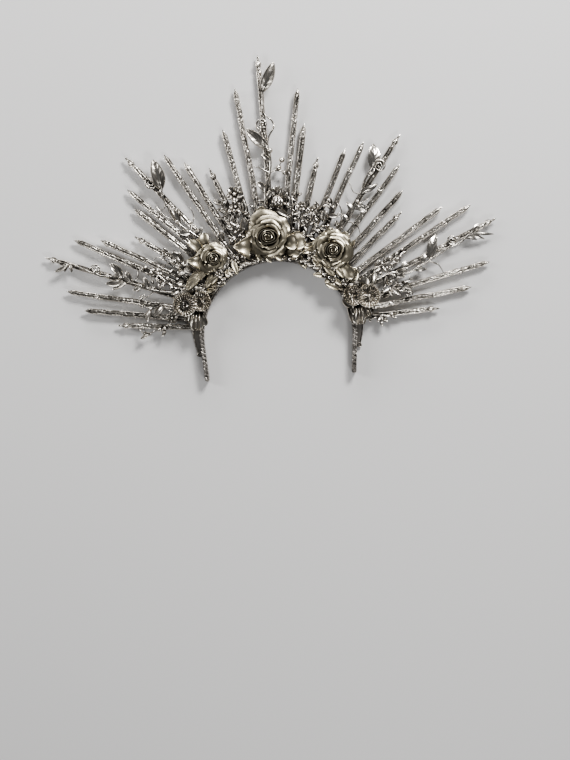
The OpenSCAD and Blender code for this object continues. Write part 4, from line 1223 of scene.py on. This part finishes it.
def math_node(nodes, links, operation, *values):
    """Output of one step of arithmetic on numbers or on other nodes' outputs."""
    node = nodes.new("ShaderNodeMath")
    node.operation = operation
    for socket, value in zip(node.inputs, values):
        if isinstance(value, (int, float)):
            socket.default_value = value
        else:
            links.new(value, socket)
    return node.outputs[0]


def lumps(nodes, links, scale, detail):
    """Noise in the piece's own coordinates."""
    place = nodes.new("ShaderNodeTexCoord")
    node = nodes.new("ShaderNodeTexNoise")
    node.inputs["Scale"].default_value = scale
    node.inputs["Detail"].default_value = detail
    links.new(place.outputs["Object"], node.inputs["Vector"])
    return node.outputs["Fac"]


# In metres: how far a surface looks for nearby walls, which darken it with patina and painted shade, and
# the height of its fine grain
OCCLUSION_REACH = 0.006
BUMP_DEPTH = 0.0004
# Lumps in a metre of the fine grain and of the worn patches
GRAIN_SCALE = 900
PATCH_SCALE = 160


def silver(name, bright, middle, dark, gloss, relief, patches=0.35):
    """Antique silver: bright on its high spots, dark in its hollows with patina and with painted shade from
    ambient occlusion, and with worn patches.
    """
    material = bpy.data.materials.new(name)
    material.use_nodes = True
    nodes, links = material.node_tree.nodes, material.node_tree.links
    shader = nodes["Principled BSDF"]
    shader.inputs["Metallic"].default_value = 1.0
    fine = lumps(nodes, links, GRAIN_SCALE, 3)
    broad = lumps(nodes, links, PATCH_SCALE, 4)
    tarnish = nodes.new("ShaderNodeAttribute")
    tarnish.attribute_name = "tarnish"
    # Ambient occlusion darkens the colour near other surfaces: patina in the hollows, and painted shade
    # where parts lie close together.
    hollow = nodes.new("ShaderNodeAmbientOcclusion")
    hollow.samples = 4
    hollow.inputs["Distance"].default_value = OCCLUSION_REACH
    closed = math_node(nodes, links, "SUBTRACT", 1.0, hollow.outputs["AO"])
    wear = math_node(nodes, links, "MULTIPLY_ADD", broad, patches, -0.5 * patches)
    total = math_node(nodes, links, "MULTIPLY_ADD", closed, 0.55, wear)
    total = math_node(nodes, links, "ADD", total, tarnish.outputs["Fac"])
    colours = ramp(nodes, [(0.0, bright), (0.4, middle), (0.95, dark)])
    links.new(total, colours.inputs["Fac"])
    links.new(colours.outputs["Color"], shader.inputs["Base Color"])
    rough = math_node(nodes, links, "MULTIPLY_ADD", total, 0.3, gloss)
    rough = math_node(nodes, links, "MINIMUM", math_node(nodes, links, "MAXIMUM", rough, 0.12), 0.7)
    links.new(rough, shader.inputs["Roughness"])
    bump = nodes.new("ShaderNodeBump")
    bump.inputs["Strength"].default_value = relief
    bump.inputs["Distance"].default_value = BUMP_DEPTH
    links.new(fine, bump.inputs["Height"])
    links.new(bump.outputs["Normal"], shader.inputs["Normal"])
    return material


# Colours on high spots, between, and in hollows, where several materials share them
PALE = (0.87, 0.82, 0.745)
GREY = (0.38, 0.352, 0.312)
DUSK = (0.205, 0.19, 0.172)
BLACK = (0.02, 0.018, 0.016)
# Finishes: bright, middle and dark colour, roughness where it is bright, strength of the grain and,
# where it differs, of the worn patches
FINISHES = {
    "ray_silver": (PALE, GREY, BLACK, 0.2, 0.35),
    "vine_silver": (PALE, (0.415, 0.387, 0.345), BLACK, 0.17, 0.2),
    "leaf_silver": ((0.83, 0.78, 0.71), GREY, BLACK, 0.18, 0.2),
    "band_silver": ((0.62, 0.58, 0.53), DUSK, BLACK, 0.3, 0.5),
    "plate_silver": ((0.515, 0.48, 0.44), DUSK, BLACK, 0.32, 0.3),
    "rose_champagne": ((0.82, 0.742, 0.59), (0.45, 0.405, 0.313), (0.075, 0.066, 0.049), 0.22, 0.15, 0.25),
    "flower_silver": ((0.82, 0.767, 0.685), (0.34, 0.315, 0.275), BLACK, 0.18, 0.2),
}
MATERIALS = {name: silver(name, *finish) for name, finish in FINISHES.items()}
# Edges with a sharper bend than this stay crisp
SMOOTH_ANGLE = math.radians(42)


def make(cast, node, slot, name=None):
    """Puts a piece into the scene, in the place of its CAD node if it has one."""
    name = name or f"{node}_casting"
    mesh = bpy.data.meshes.new(name)
    mesh.from_pydata((np.concatenate(cast.points) * MM).tolist(), [], cast.faces)
    mesh.attributes.new("tarnish", "FLOAT", "POINT").data.foreach_set("value", np.concatenate(cast.tarnish))
    shape = bmesh.new()
    shape.from_mesh(mesh)
    bmesh.ops.recalc_face_normals(shape, faces=shape.faces)
    shape.to_mesh(mesh)
    shape.free()
    mesh.polygons.foreach_set("use_smooth", [True] * len(mesh.polygons))
    mesh.set_sharp_from_angle(angle=SMOOTH_ANGLE)
    mesh.materials.append(MATERIALS[slot])
    piece = bpy.data.objects.new(name, mesh)
    bpy.context.scene.collection.objects.link(piece)
    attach(piece, "root")
    if node:
        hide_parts(node)


for number in range(1, RAY_COUNT + 1):
    name = f"ray_{number:02d}"
    make(ray(name, RAY_KINDS[(number - 1) % len(RAY_KINDS)], number), name, "ray_silver")
# The other ornaments: what casts them, the table that names them, the first one's seed, their material
ORNAMENTS = [
    (vine, VINES, 60, "vine_silver"),
    (rose, ROSES, 11, "rose_champagne"),
    (pansy, PANSIES, 15, "flower_silver"),
    (garland, GARLANDS, 80, "leaf_silver"),
    (spray, SPRAYS, 90, "leaf_silver"),
]
for ornament, table, seed, slot in ORNAMENTS:
    for number, name in enumerate(table):
        make(ornament(name, seed + number), name, slot)
make(band(), "headband", "band_silver")

# Width of the bevel along the plate's edges, in metres
PLATE_EDGE = 0.0004
make(plate_rim(), None, "plate_silver", "plate_rim_wire")
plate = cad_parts["halo_base"]
plate.data.materials.clear()
plate.data.materials.append(MATERIALS["plate_silver"])
soft = plate.modifiers.new("soft_edges", "BEVEL")
soft.width = PLATE_EDGE
soft.segments = 2
soft.limit_method = "ANGLE"


# The floor's side and its place just below the crown, in metres
FLOOR_SIZE = 4
FLOOR_Z = -0.0006


def add_floor():
    """Plain pale floor that the crown lies on."""
    bpy.ops.mesh.primitive_plane_add(size=FLOOR_SIZE, location=(0, 0, FLOOR_Z))
    floor = bpy.context.object
    floor.name = "floor"
    material = bpy.data.materials.new("floor_paper")
    material.use_nodes = True
    shader = material.node_tree.nodes["Principled BSDF"]
    shader.inputs["Base Color"].default_value = (0.72, 0.71, 0.7, 1)
    shader.inputs["Roughness"].default_value = 0.85
    floor.data.materials.append(material)


def add_light(name, place, target, size, watts):
    """Softbox turned to its target."""
    lamp = bpy.data.lights.new(name, "AREA")
    lamp.shape = "RECTANGLE"
    lamp.size, lamp.size_y = size
    lamp.energy = watts
    light = bpy.data.objects.new(name, lamp)
    light.location = place
    light.rotation_euler = (Vector(place) - Vector(target)).to_track_quat("Z", "Y").to_euler()
    bpy.context.scene.collection.objects.link(light)


# Softboxes: place, target and size in metres, and watts
LIGHTS = {
    "key": ((0.65, 0.95, 1.05), (0, -0.03, 0), (0.5, 0.4), 25),
    "fill": ((-1.2, 0.3, 0.8), (0, -0.03, 0), (0.35, 0.9), 7),
    "rim": ((-0.2, 1.3, 0.45), (0, 0, 0), (1.2, 0.25), 10),
    "front": ((0.5, -1.0, 1.2), (0, -0.03, 0), (0.35, 0.35), 6),
}
add_floor()
for name, light in LIGHTS.items():
    add_light(name, *light)

world = bpy.data.worlds.new("studio")
world.use_nodes = True
world.node_tree.nodes["Background"].inputs["Color"].default_value = (0.5, 0.51, 0.53, 1)
world.node_tree.nodes["Background"].inputs["Strength"].default_value = 0.22
bpy.context.scene.world = world
bpy.context.scene.view_settings.look = "AgX - Medium High Contrast"

lens = bpy.data.cameras.new("camera")
lens.sensor_fit = "AUTO"
lens.sensor_width = SENSOR
lens.lens = SENSOR * CAMERA_REACH / PHOTO_HEIGHT
lens.clip_start = 0.05
lens.clip_end = 20
camera = bpy.data.objects.new("camera", lens)
camera.location = (AXIS[0] * MM, AXIS[1] * MM, (RAY_MID + CAMERA_REACH) * MM)
camera.rotation_euler = (0, 0, PHOTO_TURN)
bpy.context.scene.collection.objects.link(camera)
bpy.context.scene.camera = camera
